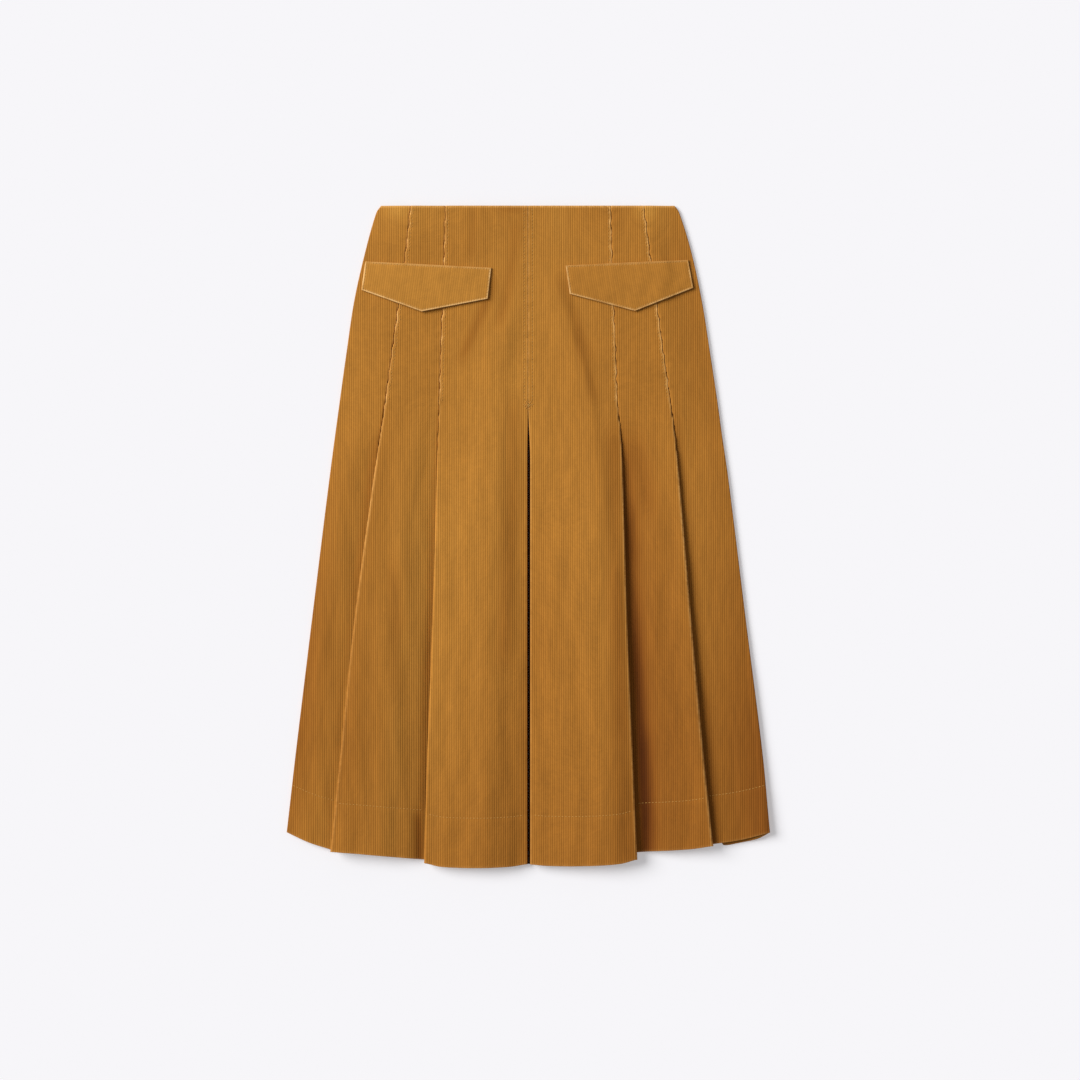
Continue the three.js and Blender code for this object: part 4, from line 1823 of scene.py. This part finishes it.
LEFT = Half(
    side=Side.LEFT,
    lay=Lay(
        down=(0, 8, 55, 115, 175, RELEASE, 330, 500, 665, SIDE_LENGTH, 800),
        edge=(178, 183.6, 197, 210.5, 219.5, 228.5, 240.5, 261.5, 281.5, 292, 297),
        outer=(142, 142.9, 148, 156, 164.5, 173.2, 187, 209.8, 227, 236.4, 241),
        inner=(100, 100.2, 101.5, 103.4, 105.6, 107.7, 110.6, 115.6, 122, 124.8, 125.8),
    ),
    hem=Hem(
        side=Track((0, 0.5, 1), (SIDE_LENGTH, 769.5, 778.5)),
        middle=Track((0, 0.4, 1), (780.5, 784, 790.5)),
        centre=Track((0, 0.15, 0.5, 0.85, 1), (794.5, 798.6, 800, 798.6, 796)),
        back=Track((0, 0.4, 0.7, 0.84, 0.9, 0.95, 1),
                   (786, 777, 768, 764, 762, 760, SIDE_LENGTH)),
    ),
    lift=Lift(
        outer=6.4,
        inner=6,
        centre=2,
        side_crown=2.4,
        outer_roll=0.6,
        middle=Track((0, 0.35, 0.7, 0.88, 1), (1, 0.96, 0.9, 0.6, 0)),
        crown=Track((0, 0.2, 0.4, 0.58, 0.7, 0.82, 0.92, 1), (0, 1.6, 3.3, 4.6, 4.1, 2.6, 1, 0)),
        loft=Track((0, 0.42, 0.6, 0.8, 0.92, 1), (0, 0.8, 2, 2.6, 1.8, 0)),
        seam=Track((0, RELEASE, 500, 690, LENGTH), (0.4, 0.6, 0.8, 1.1, 2)),
        step=1.1,
        slit=0.9,
    ),
    flap=FlapCut(
        outer_top=Corner(197, 67.4),
        inner_top=Corner(44.5, 75.3),
        inner_low=Corner(48.8, 112.9),
        point=Corner(128.6, 128.3),
        outer_low=Corner(201.7, 102),
    ),
    # Creases with a tone paint shade along valleys and folds, or light where the tone is above 0.
    creases=(
        Crease(CENTRE, (135, 170, 215, 260, 330, 430), (26, 31, 37, 40, 42, 44), 2.0, 42, 15, 60),
        Crease(CENTRE, (20, 60, 100, 138, 170), (22, 25, 28, 38, 60), -0.35, 8, 8),
        Crease(CENTRE, (0, 30, 62), (58, 59, 60), 0.6, 6, 9, 20),
        Crease(CENTRE, (0, 30, 62), (76, 76, 77), 0.5, 9, 6, 20),
        Crease(CENTRE, (680, 740, 800), (40, 42, 43), 1.2, 25, 12),
        Crease(SIDE, (275, 330, 405, 490, 560), (206, 218, 231, 243, 250), 1.1, 18, 22),
        Crease(MIDDLE, (500, 620, 719, 800), (172, 176, 180, 182), 1.7, 40, 25),
        Crease(MIDDLE, (300, 400, 480), (150, 153, 156), 0.5, 10, 12),
        Crease(SIDE, (283, 345, 410, 480), (185, 192, 199, 206), 0, 7, 8, tone=-0.14),
        Crease(CENTRE, (235, 340, 430, 550), (16, 18, 23, 29), 0, 10, 9, tone=-0.14),
        Crease(CENTRE, (0, 30, 62), (66, 66, 68), 0, 6, 6, 20, tone=-0.1),
        Crease(CENTRE, (90, 120, 150, 185), (44, 53, 65, 80), 0, 7, 7, 30, tone=-0.2),
        Crease(CENTRE, (20, 60, 100, 145), (15, 18, 24, 36), 0, 7, 7, 30, tone=-0.14),
        Crease(MIDDLE, (430, 480, 560, 600), (163, 160, 158, 158), 0, 8, 8, 60, tone=-0.12),
        Crease(MIDDLE, (520, 600, 677, 780), (152, 157, 161, 167), 0, 10, 9, 40, tone=0.09),
        Crease(MIDDLE, (735, 765, 800), (133, 132, 131), -0.5, 5, 4, 24, tone=-0.3),
    ),
    # Painted light and shade down each panel.
    shade=PaintedShade(
        down=(0, 50, 225, 300, 400, 520, 650, 800),
        side_outer=(1.04, 0.95, 0.99, 0.91, 0.80, 0.68, 0.65, 0.79),
        side_inner=(1.11, 0.99, 0.97, 1.0, 1.03, 1.0, 0.96, 1.02),
        middle_outer=(1.12, 0.98, 0.98, 0.91, 0.88, 0.83, 0.75, 0.84),
        middle_inner=(1.04, 0.98, 0.97, 1.09, 1.15, 1.10, 1.02, 0.91),
        centre_outer=(1.03, 0.96, 1.01, 1.02, 1.08, 1.04, 0.98, 0.85),
        centre_inner=(0.94, 1.03, 1.07, 1.06, 0.99, 0.92, 0.82, 0.77),
    ),
    # Patches of painted light, and of painted shade where the gain is below 0.
    painted_patches=(
        Rub(SIDE, 157, 6, 15, 10, 0.2),
        Rub(CENTRE, 20, 3, 16, 6, -0.15),
    ),
    # The folded edges' rubbing and painted highlights.
    wear=EdgeWearAndHighlight(outer=0.4, inner=0.08, centre=0.07, sewn=0.35, ridge=0.0, low=0.3),
    # The flap's painted light and shade, and how much its rims are lightened by rubbing and a
    # painted highlight.
    flap_shade=1.07,
    flap_rim=0.95,
)
RIGHT = Half(
    side=Side.RIGHT,
    lay=Lay(
        down=(0, 8, 55, 115, 175, RELEASE, 275, 330, 500, 665, SIDE_LENGTH, 800),
        edge=(177, 182.5, 197, 210, 219.5, 229.3, 234, 242, 263, 283.5, 292, 297),
        outer=(140, 141, 147, 155.1, 163.4, 172.6, 177.2, 182.6, 196.9, 212, 221.6, 226.5),
        inner=(100, 100.2, 101.4, 103.5, 105.9, 108.3, 112, 114.4, 119.6, 126.4, 130.3, 132.3),
    ),
    hem=Hem(
        side=Track((0, 0.5, 1), (SIDE_LENGTH, 766.5, 771.5)),
        middle=Track((0, 0.3, 1), (773.5, 777.5, 781.5)),
        centre=Track((0, 0.15, 0.5, 0.85, 1), (790, 794.8, 797.6, 797.6, 796)),
        back=Track((0, 0.4, 0.795, 0.81, 0.88, 0.95, 1),
                   (786, 777, 768.5, 773.4, 770.2, 765.3, SIDE_LENGTH)),
    ),
    lift=Lift(
        outer=4.5,
        inner=6.4,
        centre=4.6,
        side_crown=-0.9,
        outer_roll=0,
        middle=Track((0, 0.2, 0.5, 0.8, 1), (1, 0.66, 0.28, 0, 0.35)),
        crown=Track((0, 0.05, 0.12, 0.2, 0.3, 0.45, 0.7, 1), (0, 1.3, 2.7, 3.7, 4.3, 4.1, 2.3, 0)),
        loft=Track((0, 0.3, 0.44, 0.58, 0.76, 0.88, 1), (0, 0.5, 2, 4.2, 5.8, 4, 0)),
        seam=Track((0, RELEASE, 500, 690, LENGTH), (0.6, 1, 1.6, 3.4, 8)),
        step=0.0,
        slit=2.3,
    ),
    flap=FlapCut(
        outer_top=Corner(193.4, 65.6),
        inner_top=Corner(45.1, 72.4),
        inner_low=Corner(50.1, 107),
        point=Corner(129.1, 127.7),
        outer_low=Corner(199.5, 99.6),
    ),
    # Creases with a tone paint shade along valleys and folds, or light where the tone is above 0.
    creases=(
        Crease(CENTRE, (100, 155, 187, 235, 285, 340, 420), (36, 50, 62, 72, 80, 88, 96),
               1.8, 11, 42, 60),
        Crease(MIDDLE, (265, 310, 370), (130, 139, 148), -0.6, 8, 8),
        Crease(SIDE, (560, 650, 760), (255, 260, 264), 0.8, 7, 20),
        Crease(SIDE, (560, 650, 760), (272, 279, 286), 0.7, 8, 7),
        Crease(CENTRE, (680, 740, 800), (98, 101, 104), 1.1, 18, 30),
        Crease(CENTRE, (520, 620, 700), (44, 40, 38), 0.5, 12, 16),
        Crease(MIDDLE, (420, 560, 700), (186, 196, 206), 0.5, 12, 14),
        Crease(MIDDLE, (285, 330, 430, 540, 665, 840), (114, 117, 122, 130, 136, 144), 0,
               12, 6, 60, tone=-0.3),
        Crease(MIDDLE, (500, 600, 665, 840), (127, 133, 137, 144), 0, 10, 5, 150, tone=-0.32),
        Crease(MIDDLE, (280, 318, 370), (132, 138, 146), 0, 12, 12, 50, tone=-0.16),
        Crease(MIDDLE, (365, 392, 430), (120, 121, 123), 0, 13, 6, 30, tone=-0.14),
        Crease(MIDDLE, (640, 705, 765), (138, 141, 145), 0, 11, 7, 50, tone=-0.24),
        Crease(CENTRE, (150, 170, 200, 235), (57, 62, 72, 80), 0, 6, 7, 25, tone=-0.13),
        Crease(SIDE, (250, 330, 500, 665, 840), (176, 184, 199, 214, 228), 0, 8, 5, tone=-0.14),
        Crease(SIDE, (590, 680, 800), (212, 219, 229), 0, 7, 6, 60, tone=-0.12),
        Crease(CENTRE, (270, 420, 560, 800), (104, 107, 112, 120), 0, 10, 14, tone=-0.16),
        Crease(CENTRE, (440, 540, 640), (108, 111, 115), 0, 9, 9, 40, tone=-0.09),
        Crease(CENTRE, (85, 130, 185), (38, 54, 76), 0, 7, 8, 30, tone=-0.12),
    ),
    # Painted light and shade down each panel.
    shade=PaintedShade(
        down=(0, 50, 225, 300, 400, 520, 650, 800),
        side_outer=(0.92, 0.85, 0.84, 0.84, 0.82, 0.70, 0.52, 0.44),
        side_inner=(1.16, 0.95, 0.93, 0.96, 0.94, 0.90, 0.80, 0.80),
        middle_outer=(1.02, 0.94, 0.90, 0.92, 0.85, 0.76, 0.68, 0.68),
        middle_inner=(0.86, 0.95, 0.91, 0.84, 0.72, 0.65, 0.60, 0.65),
        centre_outer=(0.91, 0.97, 0.93, 0.93, 1.0, 0.97, 0.88, 0.76),
        centre_inner=(1.01, 1.04, 1.03, 1.03, 0.95, 0.86, 0.85, 0.81),
    ),
    # Patches of painted light, and of painted shade where the gain is below 0.
    painted_patches=(
        Rub(SIDE, 148, 6, 8, 10, 0.15),
        Rub(MIDDLE, 134, 6, 8, 10, 0.15),
        Rub(CENTRE, 36, 14, 12, 26, 0.08),
    ),
    # The folded edges' rubbing and painted highlights.
    wear=EdgeWearAndHighlight(outer=0.6, inner=0.4, centre=0.2, sewn=0.04, ridge=0.75, low=0.6),
    # The flap's painted light and shade, and how much its rims are lightened by rubbing and a
    # painted highlight.
    flap_shade=0.95,
    flap_rim=0.7,
)


@dataclass
class SkirtHalf:
    """One half of the skirt: its front, its back, its flap and its stitching."""

    half: Half
    corduroy: bpy.types.Material
    flap_corduroy: bpy.types.Material
    thread: bpy.types.Material

    def build(self) -> None:
        """Make and dress every piece of this half."""
        word = self.half.side.word
        front, back = FrontHalf(self.half).build(), BackHalf(self.half).build()
        flap_maker = Flap(self.half)
        flap = flap_maker.build()
        self.dress(back, f"back_{word}", "corduroy", self.corduroy)
        self.dress(front, f"front_{word}", "corduroy", self.corduroy)
        self.dress(flap, f"flap_{word}", "flap_corduroy", self.flap_corduroy)
        seams = Stitching(f"thread_front_{word}", self.half.side.value)
        for line in self.seam_lines():
            seams.sew(line)
        edging = Stitching(f"thread_flap_{word}", self.half.side.value, stitch=2.7, gap=0.9)
        edging.sew(flap_maker.stitch_line())
        threads = [seams.build(), edging.build()]
        for piece, slot in zip(threads, ("corduroy", "flap_corduroy")):
            piece.data.materials.append(self.thread)
            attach(piece, "root")
            LOG.info("%s has %d faces", piece.name, len(piece.data.polygons))

    @staticmethod
    def dress(piece: bpy.types.Object, node: str, slot: str,
              material: bpy.types.Material) -> None:
        """Give a piece its material and its place in the frame, and log it.

        Args:
            piece: The piece.
            node: The node of the part that it stands for.
            slot: Not used.
            material: Its finish.
        """
        piece.data.materials.append(material)
        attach(piece, "root")
        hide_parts(node)
        LOG.info("%s stands for %s with %d faces", piece.name, node, len(piece.data.polygons))

    def seam_lines(self) -> list[Line]:
        """Lay all the front's stitching.

        Returns:
            The lines, each point with its height.
        """
        half = self.half
        downs = np.arange(3.0, RELEASE, 2.0)
        at = half.section(downs)
        lines = [
            self.on(MIDDLE, at.outer.edge - STITCH_INSET, downs),
            self.on(CENTRE, at.inner.edge - STITCH_INSET, downs),
            self.on(CENTRE, np.full_like(downs, CENTRE_STITCH), downs),
        ]
        for panel in Panel:
            lines.append(self.hem_line(panel))
        return lines

    def hem_line(self, panel: Panel) -> Line:
        """Find the line of the hem's stitching across one panel.

        Args:
            panel: Which panel.

        Returns:
            The line, each point with its height.
        """
        half = self.half
        share = np.linspace(0.01, 0.99, 60)
        down = HEM_STITCH * getattr(half.hem, panel.value)(share)
        first, last = half.ends(panel, half.section(down))
        return self.on(panel, mix(first, last, share), down)

    def on(self, panel: Panel, dist: Array, down: Array) -> Line:
        """Lay a line of stitches on the cloth.

        Args:
            panel: Which panel it crosses.
            dist: Its points' distances from the centre front.
            down: Their distances from the waist edge.

        Returns:
            The points, with the height of the cloth under them.
        """
        height = self.half.surface(panel, dist, down)
        return [(float(a), float(b), float(c)) for a, b, c in zip(dist, down, height)]


@dataclass
class BarTack:
    """The small cross of stitches that holds the top of the centre slit."""

    thread: bpy.types.Material
    centre: float = RELEASE + 1.5
    arms: tuple[tuple[float, float], ...] = ((12, 6.5), (58, 6.5), (90, 6), (128, 6.5), (166, 6.5))
    nearest: float = 1.2
    raised: float = 0.15

    def arm(self, turn: float, reach: float) -> Line:
        """Lay one line of stitches across the slit.

        Args:
            turn: Its angle in degrees.
            reach: How far it reaches on either side of the centre.

        Returns:
            The line, each point with its height.
        """
        line = []
        for out in np.linspace(-reach, reach, 9):
            x = float(out * math.cos(math.radians(turn)))
            down = float(self.centre + out * math.sin(math.radians(turn)))
            half = LEFT if x < 0 else RIGHT
            near = np.array([max(abs(x), self.nearest)])
            height = half.surface(CENTRE, near, np.array([down]))[0] + self.raised
            line.append((x, down, float(height)))
        return line

    def build(self) -> None:
        """Make and dress the tack."""
        stitches = Stitching("thread_bar_tack", 1, stitch=2.2, gap=0.15, radius=0.3)
        for turn, reach in self.arms:
            stitches.sew(self.arm(turn, reach))
        piece = stitches.build()
        piece.data.materials.append(self.thread)
        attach(piece, "root")
        LOG.info("%s holds the slit with %d faces", piece.name, len(piece.data.polygons))


def main() -> None:
    """Build the studio and both halves of the skirt."""
    Studio().build()
    corduroy = Corduroy("corduroy").material()
    # The flap's rims get a lighter colour for rubbing and painted highlights.
    flap_corduroy = Corduroy("flap_corduroy", worn_and_highlight=(1.0, 0.64, 0.27)).material()
    thread = Thread("sewing_thread").material()
    for half in (LEFT, RIGHT):
        SkirtHalf(half, corduroy, flap_corduroy, thread).build()
    BarTack(thread).build()
    boxes = {"cad": CAD_BOX, "visual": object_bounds()}
    sizes = {name: [list(corner) for corner in box] for name, box in boxes.items()}
    for name, box in sizes.items():
        LOG.info("%s box %s", name, box)


if __name__ == "__main__":
    main()
